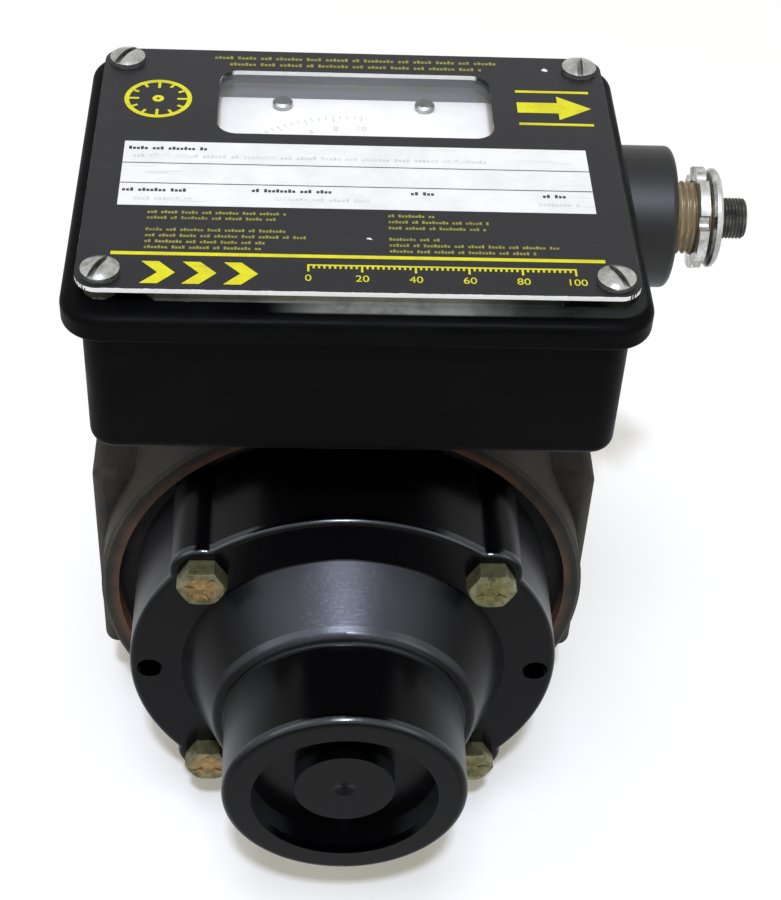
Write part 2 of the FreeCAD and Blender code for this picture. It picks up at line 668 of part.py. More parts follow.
def piston():
    """Disc, crank groove, collar and guide stem in one turned piece."""
    disc_front_y = PISTON_BACK_Y - PISTON_T
    groove_front_y = COLLAR_FRONT_Y + COLLAR_T
    return turned_y([
        (0, PISTON_BACK_Y),
        (PISTON_R, PISTON_BACK_Y),
        (PISTON_R, disc_front_y),
        (GROOVE_ROOT_R, disc_front_y),
        (GROOVE_ROOT_R, groove_front_y),
        (COLLAR_R, groove_front_y),
        (COLLAR_R, COLLAR_FRONT_Y),
        (STEM_R, COLLAR_FRONT_Y),
        (STEM_R, STEM_TIP_Y + STEM_TIP_CHAMFER),
        (STEM_R - STEM_TIP_CHAMFER, STEM_TIP_Y),
        (0, STEM_TIP_Y),
    ])


def half_coil(start, finish, side):
    """Half a turn of the spring: a tilted half ring that leaves and arrives level."""
    middle = (start + finish) * 0.5
    angles = [math.radians(360 * (i + 0.5) / SPRING_WIRE_SIDES) for i in range(SPRING_WIRE_SIDES)]
    points = [start + Vector(math.cos(a), math.sin(a), 0) * SPRING_WIRE_R for a in angles]
    section = Part.Face(Part.makePolygon(points + points[:1]))
    return section.revolve(middle, (start - middle).cross(Vector(0, 0, side)), 180)


def piston_spring():
    """Open coil from the nose's floor to the piston's collar."""
    first_y = NOSE_FLOOR_Y + SPRING_WIRE_R
    rise = (COLLAR_FRONT_Y - SPRING_WIRE_R - first_y) / (2 * SPRING_TURNS)
    halves = []
    for i in range(2 * SPRING_TURNS):
        side = 1 if i % 2 == 0 else -1
        start = Vector(side * SPRING_R, first_y + i * rise, AXIS_Z)
        finish = Vector(-side * SPRING_R, first_y + (i + 1) * rise, AXIS_Z)
        halves.append(half_coil(start, finish, side))
    return halves[0].fuse(halves[1:])


def lever_shaft():
    return round_z(SHAFT_R, CRANK_Z - SHAFT_END_STAND, SHAFT_TOP_Z)


def crank_pin_place():
    angle = math.radians(CRANK_ANGLE)
    return CRANK_L * math.cos(angle), SHAFT_Y + CRANK_L * math.sin(angle)


def flat_arm(hub_r, root_w, end_r, length, thickness, z, angle):
    """Flat arm on the shaft: a hub, a tapering web and a round end."""
    half = root_w / 2
    corners = [(0, -half), (length, -end_r), (length, end_r), (0, half)]
    web = prism([Vector(x, y, z) for x, y in corners], Vector(0, 0, thickness))
    hub = Part.makeCylinder(hub_r, thickness, Vector(0, 0, z))
    end = Part.makeCylinder(end_r, thickness, Vector(length, 0, z))
    arm = hub.fuse([web, end]).removeSplitter()
    arm.rotate(Vector(0, 0, 0), Z_DIR, angle)
    arm.translate(Vector(0, SHAFT_Y, 0))
    return arm


def crank_arm():
    arm = flat_arm(CRANK_HUB_R, 2 * CRANK_HUB_R, CRANK_END_R, CRANK_L, CRANK_T, CRANK_Z, CRANK_ANGLE)
    top = CRANK_Z + CRANK_T
    x, y = crank_pin_place()
    return arm.cut([round_z(SHAFT_R, CRANK_Z, top), round_z(CRANK_PIN_R, CRANK_Z, top, x, y)])


def crank_pin():
    x, y = crank_pin_place()
    return round_z(CRANK_PIN_R, AXIS_Z + CRANK_PIN_LOW, CRANK_Z + CRANK_T, x, y)


def shaft_bushing():
    return tube_z(SHAFT_BORE_R, SHAFT_R + RUN_CLEAR, BUSHING_TOP_Z - SHAFT_BUSHING_L, BUSHING_TOP_Z)


def shaft_seal():
    """Packing ring between the bushing and the gland."""
    return tube_z(SHAFT_BORE_R, SHAFT_R + RUN_CLEAR, BUSHING_TOP_Z, GLAND_BOTTOM_Z)


def gland_nut():
    nut = tube_z(GLAND_R, SHAFT_R + FREE_CLEAR, GLAND_BOTTOM_Z, NECK_TOP_Z)
    half = GLAND_SLOT_W / 2
    slot = block(-GLAND_R, GLAND_R, SHAFT_Y - half, SHAFT_Y + half, NECK_TOP_Z - GLAND_SLOT_D, NECK_TOP_Z)
    return nut.cut(slot)


def box_floor_holes(z0, z1):
    """Shaft opening and screw holes between the neck and the box floor."""
    screws = [round_z(BOX_SCREW_R + SCREW_CLEAR, z0, z1, x, y) for x, y in box_screw_places()]
    return [round_z(SHAFT_HOLE_R, z0, z1)] + screws


def box_gasket():
    return neck_sheet(NECK_TOP_Z, BOX_BOTTOM_Z).cut(box_floor_holes(NECK_TOP_Z, BOX_BOTTOM_Z))


def box_wall():
    wall = rounded_slab(WALL_HX, WALL_HY, WALL_CORNER_R, BOX_BOTTOM_Z, RIM_BOTTOM_Z + RIM_LOW_ROUND)
    return wall.makeFillet(BOX_BOTTOM_ROUND, edges_at(wall, "z", BOX_BOTTOM_Z))


def box_rim():
    rim = rounded_slab(RIM_HX, RIM_HY, RIM_CORNER_R, RIM_BOTTOM_Z, LEDGE_Z)
    rim = rim.makeFillet(RIM_TOP_ROUND, edges_at(rim, "z", LEDGE_Z))
    return rim.makeFillet(RIM_LOW_ROUND, edges_at(rim, "z", RIM_BOTTOM_Z))


def side_hub():
    hub = round_x(SIDE_HUB_R, CAVITY_HX, SIDE_HUB_X)
    return hub.makeFillet(SIDE_HUB_EDGE, edges_at(hub, "x", SIDE_HUB_X))


def control_box():
    lip = cut_corner_slab(LIP_HX, LIP_HY, LIP_CHAMFER, RIM_BOTTOM_Z, LIP_TOP_Z)
    posts = [round_z(POST_R, RIM_BOTTOM_Z, PLATE_BOTTOM_Z, x, y) for x, y in LID_SCREW_PLACES]
    cuts = [cut_corner_slab(CAVITY_HX, CAVITY_HY, CAVITY_CHAMFER, FLOOR_Z, LIP_TOP_Z)]
    cuts += box_floor_holes(BOX_BOTTOM_Z, FLOOR_Z)
    cuts.append(round_x(NIPPLE_R, SIDE_HUB_X - NIPPLE_DEPTH, SIDE_HUB_X))
    cuts.append(round_x(NIPPLE_BORE_R, CAVITY_HX - END_WALL_T, SIDE_HUB_X))
    tap_z = PLATE_TOP_Z - LID_SCREW_L
    cuts += [round_z(LID_SCREW_R, tap_z, PLATE_BOTTOM_Z, x, y) for x, y in LID_SCREW_PLACES]
    return box_wall().fuse([box_rim(), lip, side_hub()] + posts).cut(cuts)


def box_screw(x, y):
    top = FLOOR_Z + BOX_SCREW_HEAD_H
    head = round_z(BOX_SCREW_HEAD_R, FLOOR_Z, top, x, y)
    socket = round_z(BOX_SCREW_SOCKET_R, top - BOX_SCREW_SOCKET_D, top, x, y)
    return head.cut(socket).fuse(round_z(BOX_SCREW_R, FLOOR_Z - BOX_SCREW_L, FLOOR_Z, x, y))


def box_screws():
    return Part.makeCompound([box_screw(x, y) for x, y in box_screw_places()])


def lid_gasket():
    outside = cut_corner_slab(LIP_HX, LIP_HY, LIP_CHAMFER, LIP_TOP_Z, PLATE_BOTTOM_Z)
    return outside.cut(cut_corner_slab(CAVITY_HX, CAVITY_HY, CAVITY_CHAMFER, LIP_TOP_Z, PLATE_BOTTOM_Z))


def nameplate():
    plate = rounded_slab(PLATE_HX, PLATE_HY, PLATE_CORNER_R, PLATE_BOTTOM_Z, PLATE_TOP_Z)
    half_w = WINDOW_W / 2
    half_d = WINDOW_D / 2
    cuts = [rounded_slab(half_w, half_d, WINDOW_CORNER_R, PLATE_BOTTOM_Z, PLATE_TOP_Z, 0, WINDOW_Y)]
    hole_r = LID_SCREW_R + SCREW_CLEAR
    cuts += [round_z(hole_r, PLATE_BOTTOM_Z, PLATE_TOP_Z, x, y) for x, y in LID_SCREW_PLACES]
    return plate.cut(cuts)


def window_pane():
    half_w = WINDOW_W / 2 + PANE_LAP
    half_d = WINDOW_D / 2 + PANE_LAP
    return rounded_slab(half_w, half_d, WINDOW_CORNER_R, PLATE_BOTTOM_Z - PANE_T, PLATE_BOTTOM_Z, 0, WINDOW_Y)


def pan_screw(x, y, seat_z, head_r, head_h, shank_r, length):
    """Small screw with a flat head, its top edge broken."""
    head = round_z(head_r, seat_z, seat_z + head_h, x, y)
    head = head.makeChamfer(head_h / 3, edges_at(head, "z", seat_z + head_h))
    return head.fuse(round_z(shank_r, seat_z - length, seat_z, x, y))


def lid_screw(x, y, angle):
    """Screw with straight sides and a domed top, whose slot stopped at an angle when it was tightened."""
    top = PLATE_TOP_Z + LID_SCREW_SIDE_H + LID_SCREW_DOME_H
    ball_r = (LID_SCREW_HEAD_R ** 2 + LID_SCREW_DOME_H ** 2) / (2 * LID_SCREW_DOME_H)
    ball = Part.makeSphere(ball_r, Vector(x, y, top - ball_r))
    head = ball.common(round_z(LID_SCREW_HEAD_R, PLATE_TOP_Z, top, x, y))
    half = LID_SCREW_SLOT_W / 2
    slot = block(-LID_SCREW_HEAD_R, LID_SCREW_HEAD_R, -half, half, top - LID_SCREW_SLOT_D, top)
    slot.rotate(Vector(0, 0, 0), Z_DIR, angle)
    slot.translate(Vector(x, y, 0))
    return head.cut(slot).fuse(round_z(LID_SCREW_R, PLATE_TOP_Z - LID_SCREW_L, PLATE_TOP_Z, x, y))


def lid_screws():
    pairs = zip(LID_SCREW_PLACES, LID_SCREW_ANGLES)
    return Part.makeCompound([lid_screw(x, y, angle) for (x, y), angle in pairs])


def scale_plate():
    z0 = SCALE_TOP_Z - SCALE_T
    plate = block(-SCALE_W / 2, SCALE_W / 2, SCALE_FAR_Y - SCALE_D, SCALE_FAR_Y, z0, SCALE_TOP_Z)
    hole_r = SCALE_SCREW_R + SCREW_CLEAR
    return plate.cut([round_z(hole_r, z0, SCALE_TOP_Z, x, y) for x, y in SCALE_SCREW_PLACES])


def scale_screws():
    return Part.makeCompound([
        pan_screw(
            x, y, SCALE_TOP_Z, SCALE_SCREW_HEAD_R, SCALE_SCREW_HEAD_H, SCALE_SCREW_R, SCALE_SCREW_L)
        for x, y in SCALE_SCREW_PLACES])


def scale_post(x, y):
    """Hex standoff from the floor to the scale plate."""
    top = SCALE_TOP_Z - SCALE_T
    points = [Vector(x + dx, y + dy, FLOOR_Z) for dx, dy in hex_points(SCALE_POST_AF)]
    post = prism(points, Vector(0, 0, top - FLOOR_Z))
    return post.cut(round_z(SCALE_SCREW_R, SCALE_TOP_Z - SCALE_SCREW_L, top, x, y))


def scale_posts():
    return Part.makeCompound([scale_post(x, y) for x, y in SCALE_SCREW_PLACES])


def pointer():
    """Tapered hand on a hub below it, fixed on the shaft."""
    angle = 90 + CRANK_ANGLE + POINTER_LEAD
    hand = flat_arm(POINTER_HUB_R, POINTER_W, POINTER_TIP_W / 2, POINTER_L, POINTER_T, POINTER_Z, angle)
    hub_z = POINTER_Z - POINTER_HUB_H
    hub = round_z(POINTER_HUB_R, hub_z, POINTER_Z)
    return hand.fuse(hub).removeSplitter().cut(round_z(SHAFT_R, hub_z, POINTER_Z + POINTER_T))


def switch_cam():
    """Round cam with one lobe."""
    z0 = SWITCH_MID_Z - CAM_T / 2
    z1 = z0 + CAM_T
    half = math.radians(CAM_LOBE_SPREAD / 2)
    middle = math.radians(CAM_LOBE_ANGLE)

    def point(angle):
        return Vector(CAM_LOBE_R * math.cos(angle), SHAFT_Y + CAM_LOBE_R * math.sin(angle), z0)

    centre = Vector(0, SHAFT_Y, z0)
    edges = [
        Part.makeLine(centre, point(middle - half)),
        Part.Arc(point(middle - half), point(middle), point(middle + half)).toShape(),
        Part.makeLine(point(middle + half), centre),
    ]
    lobe = Part.Face(Part.Wire(edges)).extrude(Vector(0, 0, CAM_T))
    return round_z(CAM_BASE_R, z0, z1).fuse(lobe).removeSplitter().cut(round_z(SHAFT_R, z0, z1))


def switch_screw_places():
    x = SWITCH_FACE_X - SWITCH_HOLE_DEPTH
    middle = SWITCH_FRONT_Y + SWITCH_L / 2
    return [(x, middle + side * SWITCH_HOLE_SPAN / 2) for side in SIDES]


def limit_switch():
    """Snap-action switch: case, two hinge ears with their pin, and the plunger's well."""
    z0 = SWITCH_BOTTOM_Z
    z1 = SWITCH_BOTTOM_Z + SWITCH_T
    case = block(SWITCH_BACK_X, SWITCH_FACE_X, SWITCH_FRONT_Y, SWITCH_FRONT_Y + SWITCH_L, z0, z1)
    case = case.makeFillet(SWITCH_EDGE, [e for e in case.Edges if is_upright(e)])
    ear_y0 = HINGE_Y - LEVER_EYE_R
    ear_y1 = HINGE_Y + LEVER_EYE_R
    ears = block(SWITCH_FACE_X - SWITCH_EDGE, HINGE_X, ear_y0, ear_y1, z0, z1)
    gap = LEVER_W / 2 + FREE_CLEAR
    room = block(SWITCH_FACE_X, HINGE_X, ear_y0, ear_y1, SWITCH_MID_Z - gap, SWITCH_MID_Z + gap)
    pin = round_z(LEVER_PIN_R, z0, z1, HINGE_X, HINGE_Y)
    holes = [round_z(SWITCH_SCREW_R + SCREW_CLEAR, z0, z1, x, y) for x, y in switch_screw_places()]
    well_x = SWITCH_FACE_X - PLUNGER_DEPTH - PLUNGER_STROKE
    well = round_x(PLUNGER_R + RUN_CLEAR, well_x, SWITCH_FACE_X, PLUNGER_Y, SWITCH_MID_Z)
    return case.fuse(ears).cut(room).fuse(pin).cut(holes + [well])


def switch_lever():
    """Leaf with an eye and a formed tip, tilted away from the switch."""
    z0 = SWITCH_MID_Z - LEVER_W / 2
    z1 = z0 + LEVER_W
    end_y = HINGE_Y + LEVER_L
    leaf_x = HINGE_X + LEVER_EYE_R
    eye = round_z(LEVER_EYE_R, z0, z1, HINGE_X, HINGE_Y)
    leaf = block(leaf_x - LEVER_T, leaf_x, HINGE_Y, end_y, z0, z1)
    tip = round_z(LEVER_TIP_R, z0, z1, leaf_x, end_y - LEVER_TIP_R)
    tip = tip.common(block(leaf_x, leaf_x + LEVER_TIP_R, HINGE_Y, end_y, z0, z1))
    lever = eye.fuse([leaf, tip]).cut(round_z(LEVER_PIN_R + RUN_CLEAR, z0, z1, HINGE_X, HINGE_Y))
    lever.rotate(Vector(HINGE_X, HINGE_Y, 0), Z_DIR, -LEVER_TILT)
    return lever


def switch_plunger():
    """Button under the lever, its top just clear of the leaf."""
    return round_x(PLUNGER_R, SWITCH_FACE_X - PLUNGER_DEPTH, PLUNGER_TOP_X, PLUNGER_Y, SWITCH_MID_Z)


def bracket_screw_places():
    middle = SWITCH_FRONT_Y + SWITCH_L / 2
    return [(RISER_X - BRACKET_FOOT / 2, middle + side * BRACKET_SCREW_SPAN / 2) for side in SIDES]


def switch_bracket():
    """Bent strip: foot on the floor, riser, and shelf under the switch."""
    y0 = SWITCH_FRONT_Y
    y1 = SWITCH_FRONT_Y + SWITCH_L
    shelf_z = SWITCH_BOTTOM_Z - BRACKET_T
    foot_z = FLOOR_Z + BRACKET_T
    inner_x = RISER_X + BRACKET_T
    shelf = block(RISER_X, SWITCH_FACE_X - BRACKET_LAP, y0, y1, shelf_z, SWITCH_BOTTOM_Z)
    riser = block(RISER_X, inner_x, y0, y1, FLOOR_Z, SWITCH_BOTTOM_Z)
    foot = block(RISER_X - BRACKET_FOOT, inner_x, y0, y1, FLOOR_Z, foot_z)
    holes = [round_z(SWITCH_SCREW_R, shelf_z, SWITCH_BOTTOM_Z, x, y) for x, y in switch_screw_places()]
    holes += [round_z(SWITCH_SCREW_R, FLOOR_Z, foot_z, x, y) for x, y in bracket_screw_places()]
    return shelf.fuse([riser, foot]).removeSplitter().cut(holes)


def switch_screw(x, y, seat_z, length):
    return pan_screw(x, y, seat_z, SWITCH_SCREW_HEAD_R, SWITCH_SCREW_HEAD_H, SWITCH_SCREW_R, length)


def switch_screws():
    """Two through the switch into the shelf, two short ones in the foot."""
    top = SWITCH_BOTTOM_Z + SWITCH_T
    screws = [switch_screw(x, y, top, SWITCH_T + BRACKET_T) for x, y in switch_screw_places()]
    screws += [switch_screw(x, y, FLOOR_Z + BRACKET_T, BRACKET_T) for x, y in bracket_screw_places()]
    return Part.makeCompound(screws)


def terminal_block():
    """Barrier strip, one bay per terminal."""
    x0 = TERMINAL_X - TERMINAL_W / 2
    x1 = TERMINAL_X + TERMINAL_W / 2
    top = FLOOR_Z + TERMINAL_H
    length = TERMINAL_COUNT * TERMINAL_PITCH + BARRIER_T
    base = block(x0, x1, TERMINAL_Y, TERMINAL_Y + length, FLOOR_Z, top)
    barriers = []
    for i in range(TERMINAL_COUNT + 1):
        y = TERMINAL_Y + i * TERMINAL_PITCH
        barriers.append(block(x0, x1, y, y + BARRIER_T, FLOOR_Z, top + BARRIER_H))
    return base.fuse(barriers).removeSplitter()


def terminal_screw(y):
    seat_z = FLOOR_Z + TERMINAL_H
    top = seat_z + TERMINAL_SCREW_H
    half = TERMINAL_SCREW_SLOT / 2
    x0 = TERMINAL_X - TERMINAL_SCREW_R
    x1 = TERMINAL_X + TERMINAL_SCREW_R
    head = round_z(TERMINAL_SCREW_R, seat_z, top, TERMINAL_X, y)
    return head.cut(block(x0, x1, y - half, y + half, top - TERMINAL_SCREW_SLOT, top))


def terminal_screws():
    first_y = TERMINAL_Y + (BARRIER_T + TERMINAL_PITCH) / 2
    return Part.makeCompound([terminal_screw(first_y + i * TERMINAL_PITCH) for i in range(TERMINAL_COUNT)])


def receptacle_shell():
    """Pipe-thread nipple, the collar's seat, and the connector end behind its thread relief."""
    start_x = SIDE_HUB_X - NIPPLE_DEPTH
    insert_x = COLLAR_RING_X - INSERT_TAIL
    thread_x = CONNECTOR_X + RELIEF_L
    seat = round_x(COLLAR_SEAT_R, COLLAR_RING_X, CONNECTOR_X)
    relief = round_x(CONNECTOR_R - RELIEF_D, CONNECTOR_X, thread_x)
    end = round_x(CONNECTOR_R, thread_x, CONNECTOR_END_X)
    end = end.makeChamfer(CONNECTOR_CHAMFER, edges_at(end, "x", CONNECTOR_END_X))
    wire_bore = round_x(NIPPLE_BORE_R, start_x, insert_x)
    pin_bore = round_x(CONNECTOR_BORE_R, insert_x, CONNECTOR_END_X)
    nipple = round_x(NIPPLE_R, start_x, COLLAR_RING_X)
    return nipple.fuse([seat, relief, end]).cut([wire_bore, pin_bore])


def receptacle_collar():
    """Bright ring around the connector end."""
    ring = round_x(COLLAR_RING_R, COLLAR_RING_X, CONNECTOR_X)
    rims = edges_at(ring, "x", COLLAR_RING_X) + edges_at(ring, "x", CONNECTOR_X)
    return ring.makeChamfer(COLLAR_RING_EDGE, rims).cut(round_x(COLLAR_SEAT_R, COLLAR_RING_X, CONNECTOR_X))


def lock_nut():
    """Flat nut with grip notches around its edge."""
    x1 = LOCK_NUT_X + LOCK_NUT_T
    cuts = [round_x(NIPPLE_R, LOCK_NUT_X, x1)]
    for i in range(LOCK_NUT_NOTCHES):
        angle = math.radians(360 * (i + 0.5) / LOCK_NUT_NOTCHES)
        y = SIDE_HUB_Y + LOCK_NUT_R * math.cos(angle)
        z = SIDE_HUB_Z + LOCK_NUT_R * math.sin(angle)
        cuts.append(round_x(LOCK_NUT_NOTCH_R, LOCK_NUT_X, x1, y, z))
    return round_x(LOCK_NUT_R, LOCK_NUT_X, x1).cut(cuts)


def contact_places():
    angles = [math.radians(360 * (i + 0.5) / CONTACT_COUNT) for i in range(CONTACT_COUNT)]
    return [
        (SIDE_HUB_Y + CONTACT_CIRCLE_R * math.cos(a), SIDE_HUB_Z + CONTACT_CIRCLE_R * math.sin(a))
        for a in angles]


def receptacle_insert():
    x0 = COLLAR_RING_X - INSERT_TAIL
    x1 = CONNECTOR_END_X - INSERT_SINK
    holes = [round_x(CONTACT_R, x0, x1, y, z) for y, z in contact_places()]
    return round_x(CONNECTOR_BORE_R, x0, x1).cut(holes)


def contact_pins():
    x0 = COLLAR_RING_X - INSERT_TAIL - CONTACT_TAIL
    x1 = CONNECTOR_END_X - INSERT_SINK + CONTACT_STAND
    return Part.makeCompound([round_x(CONTACT_R, x0, x1, y, z) for y, z in contact_places()])


PIECES = (
    flow_body, bonnet, bonnet_gasket, bonnet_bolts, seat_ring, stem_bushing,
    piston, piston_spring, lever_shaft, crank_arm, crank_pin,
    shaft_bushing, shaft_seal, gland_nut, box_gasket, control_box, box_screws,
    lid_gasket, nameplate, window_pane, lid_screws,
    scale_plate, scale_screws, scale_posts, pointer,
    switch_cam, limit_switch, switch_plunger, switch_lever, switch_bracket, switch_screws,
    terminal_block, terminal_screws,
    receptacle_shell, receptacle_collar, lock_nut, receptacle_insert, contact_pins,
)


def main():
    os.makedirs("parts", exist_ok=True)
    for piece in PIECES:
        piece().exportStep("parts/%s.step" % piece.__name__)


main()
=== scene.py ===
"""Looks of a piston flow monitor: its finishes, lid print, threads, floor, light and camera."""
import bmesh
import bpy
import json
import math
from mathutils import Matrix, Vector


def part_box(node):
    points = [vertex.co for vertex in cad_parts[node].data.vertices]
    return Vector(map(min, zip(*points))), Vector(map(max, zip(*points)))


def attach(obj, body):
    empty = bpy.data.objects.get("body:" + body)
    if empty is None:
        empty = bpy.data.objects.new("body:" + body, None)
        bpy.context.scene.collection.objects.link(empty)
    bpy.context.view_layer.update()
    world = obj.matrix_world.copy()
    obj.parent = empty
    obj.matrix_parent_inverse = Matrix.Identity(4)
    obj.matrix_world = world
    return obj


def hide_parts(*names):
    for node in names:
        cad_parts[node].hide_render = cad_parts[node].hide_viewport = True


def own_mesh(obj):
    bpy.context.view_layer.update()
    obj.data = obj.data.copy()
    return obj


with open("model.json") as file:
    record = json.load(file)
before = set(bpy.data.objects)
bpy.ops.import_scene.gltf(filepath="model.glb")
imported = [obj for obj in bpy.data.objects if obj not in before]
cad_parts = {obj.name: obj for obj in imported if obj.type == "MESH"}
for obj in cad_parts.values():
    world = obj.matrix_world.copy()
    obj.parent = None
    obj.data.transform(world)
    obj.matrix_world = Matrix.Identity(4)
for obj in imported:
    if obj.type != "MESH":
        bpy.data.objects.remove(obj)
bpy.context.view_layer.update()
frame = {"nodes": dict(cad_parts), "record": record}

MM = 0.001
FLOAT = "NodeSocketFloat"
SIDES = (-1, 1)

# Camera, for a picture 781 pixels wide and 900 high
PICTURE_W = 781
FOCAL_PX = 1897.5
SENSOR_W = 36.0
CAMERA_PLACE = Vector((-16.12, -423.29, 523.29)) * MM
CAMERA_PAN = math.radians(4.05)
CAMERA_TILT = math.radians(-43.68)
CAMERA_ROLL = math.radians(3.58)
CAMERA_CLIP = (0.01, 20.0)

# Stage and light, in metres and watts
FLOOR_HALF = 3.0
FLOOR_CELLS = 8
FLOOR_WHITE_SHARE = 0.16   # of what the camera and mirrors see of the floor by the object
FLOOR_FADE = (320.0, 900.0)   # in millimetres from the object, to plain white
WORLD_FILL = 0.37
TOP_BOX = {"place": (-0.10, -0.90, 3.30), "size": (1.00, 1.20), "power": 34.0}
FRONT_BOX = {"place": (-0.05, -1.66, 3.09), "size": (0.18, 0.18), "power": 62.0}
LEFT_BOX = {"place": (-0.95, -0.25, 0.95), "size": (0.7, 0.9), "power": 2.6}
RIGHT_BOX = {"place": (0.95, -0.55, 0.80), "size": (0.5, 0.7), "power": 1.4}
LAMP_COOL = (0.93, 0.99, 1.18)
FILL_WARM = (1.0, 0.92, 0.68, 1.0)
LIGHT_AIM = Vector((0.0, -0.01, 0.12))

# Lid print, in millimetres on the plate
PRINT_SINK = 0.03
PRINT_STAND = 0.05
PRINT_GAP = 0.02
FIELD_X = 62.9
FIELD_Y = (-20.4, 8.5)
FIELD_ROWS = (-1.5, -10.6)
FIELD_LINE_W = 0.35
RULE_X = 63.0
RULE_Y = -40.7
RULE_W = 1.3
FINE_RULE_W = 0.55

# Blank small print: rows of strokes, each from x to x at y
STROKES_PER_WORD = (5, 3, 7, 4, 6, 2, 8, 3, 5)
STROKE_W = 0.55            # of the height, as the next three
STROKE_GAP = 0.18
WORD_GAP = 0.75
LOW_STROKE = 0.72
TOP_NOTES = ((-40.2, 41.6, 51.2), (-35.8, 36.9, 47.9))
LEFT_NOTES = (
    (-54.8, -18.5, -23.2), (-54.8, -19.9, -25.6), (-54.8, -17.3, -30.6),
    (-54.8, -13.4, -33.1), (-54.8, -23.8, -35.6), (-54.8, -24.3, -38.0))
RIGHT_NOTES = (
    (7.8, 20.5, -23.0), (7.8, 34.8, -25.6), (7.8, 33.4, -28.2),
    (7.8, 21.2, -33.0), (7.8, 52.0, -35.5), (7.8, 45.8, -38.0))
NOTE_H = 1.2
TOP_NOTE_H = 1.5
FIELD_LABELS = (
    (-61.6, -39.3, 5.4), (-62.1, -44.6, -13.6), (-28.0, -6.1, -13.1),
    (14.1, 21.0, -13.1), (49.3, 55.8, -13.1))
LABEL_H = 1.45
FIELD_ENTRIES = ((-60.3, 36.0, 1.9), (-58.9, -41.5, -17.4), (-21.9, 3.7, -16.8), (48.0, 59.0, -16.8))
ENTRY_H = 1.5
CHEVRON_X = (-55.0, -44.6, -34.2)
CHEVRON_Y = -52.7
CHEVRON_H = 8.8
CHEVRON_ARM = 4.4
CHEVRON_TIP = 4.2
GAUGE_X = (-13.0, 55.0)
GAUGE_Y = -44.3
GAUGE_STEPS = 50
GAUGE_NUMBERS = ("0", "20", "40", "60", "80", "100")
GAUGE_TICK = 1.3
GAUGE_LONG_TICK = 2.6
GAUGE_TEXT = 3.6
GAUGE_TEXT_DROP = 5.3
DIAL_PLACE = (-55.2, 29.4)
DIAL_R = 9.4
DIAL_W = 1.3
DIAL_TICKS = 12
DIAL_TICK = 1.7
DIAL_LONG_TICK = 2.8
DIAL_TICK_W = 0.8
DIAL_HUB_R = (1.6, 0.5)    # outside and inside
DIAL_HUB_SIDES = 24
ARROW_PLACE = (45.6, 29.0)
ARROW_L = 21.0
ARROW_H = 15.0
ARROW_STEM_L = 0.55        # of the length
ARROW_STEM_HALF = 0.34     # of half the height, as the next
ARROW_HEAD_HALF = 0.78
ARROW_LINE_GAP = 0.6
ARROW_LINE_W = 1.1
PLATE_CORNER_R = 6.0

# Places of finishes, in millimetres; a pair is where a change of finish starts and where it ends
BOX_LEDGE_Z = 219.8
BOX_LEDGE_EASE = 0.2
BOX_RIM_X = 75.8
BOX_FOOT = (1.0, 2.4)           # above the box's bottom
BOX_FLOOR = 2.0
BOX_INNER_EDGE = 0.6            # below the ledge
BOX_LIP_HALF = 1.3
# where the dusty patches and painted sheen lie, on the box's lip and ledge
DUST_AND_SHEEN_BAND = (-2.6, -1.6)        # inwards from the lid plate's outline
LIP_DUST_AND_SHEEN_X = (-58.0, 0.0)
LEDGE_DUST_AND_SHEEN_X = (-24.0, -4.0)
DUST_AND_SHEEN_END_X = (22.0, 44.0)
BONNET_AXIS_Z = 73.0
# bonnet edges and hub crown carry a painted sheen; the crown's scratches also paint its highlight
BONNET_EDGES = ((-48.9, 55.0), (-69.2, 36.0), (-97.2, 20.0))   # y, and the least radius there
BONNET_EDGE_HALF = 1.6
HUB_CROWN = (-1.0, -62.5, 116.0)
HUB_SHEEN_R = (10.0, 42.0)      # from the crown, as the next
HUB_SCRATCH_HIGHLIGHT_R = (4.0, 20.0)
HUB_MID_Y = -60.8
HUB_HALF = 10.1
FLANGE_RUB_R = 59.0
RECESS_DEPTH = (16.0, 20.0)     # behind the body's front
RIM_RUST_R = (71.1, 73.7)
RIM_RUST_DEPTH = 3.0
PLATE_CHIP_DEPTH = (0.03, 0.22)
PLATE_BORDER_Y = (4.5, 9.0)     # behind the plate's front edge
PLATE_CORNER_X = (-8.0, -4.0)   # from the plate's ends
BOLT_TINT_R = (3.4, 5.6)
BOLT_TINT_X = (-10.0, 10.0)
NIPPLE_RUST_X = (2.2, 4.5)      # from the nipple's start

# Scale print, about the pointer's shaft
SHAFT_Y = -3.9
SCALE_SWEEP = (-53.0, 3.0)   # degrees from straight back
SCALE_TICKS = 21
SCALE_R = (40.4, 43.2)
SCALE_SHORT = 1.2          # what a short tick lacks
SCALE_TICK_W = 0.28
SCALE_NUMBER_R = 36.8
SCALE_NUMBERS = ("0", "2", "4", "6", "8", "10")
SCALE_TEXT = 3.0

# Return coil, in millimetres
COIL_WIRE_R = 1.5
COIL_TURNS = 6
COIL_STEPS = 40            # in a turn
COIL_SIDES = 14
COIL_CLOSED_PITCH = 3.05   # of the first and last turn

# Threads and bolt heads, in millimetres
THREAD_CREST = 0.12        # of half a pitch, as the next
THREAD_FLANK = 0.76
SMOOTH_ANGLE = 40.0
PORT_CREST_R = 20.9
PORT_PITCH = 2.209
PORT_LENGTH = 24.0
PORT_LEAD = 2.0
PORT_ROOT_GAP = 0.15
PORT_EASE = 1.0
PORT_SIDES = 96
NIPPLE_PITCH = 1.814
NIPPLE_DEPTH = 1.15
NIPPLE_BORE_R = 7.5
NIPPLE_EASE = 0.8
CONNECTOR_R = 6.0
CONNECTOR_PITCH = 1.0
CONNECTOR_DEPTH = 0.6
CONNECTOR_BORE_R = 4.3
CONNECTOR_EASE = 0.6
COLLAR_SEAT_R = 8.0
RELIEF_R = 5.4
RELIEF_L = 0.8
BOLT_AF = 12.7
GRADE_MARKS = 3
GRADE_TURN = 0.7           # radians from bolt to bolt
GRADE_MARK = {"from": 2.3, "to": 5.0, "width": 0.9, "stand": 0.28, "sink": 0.1}


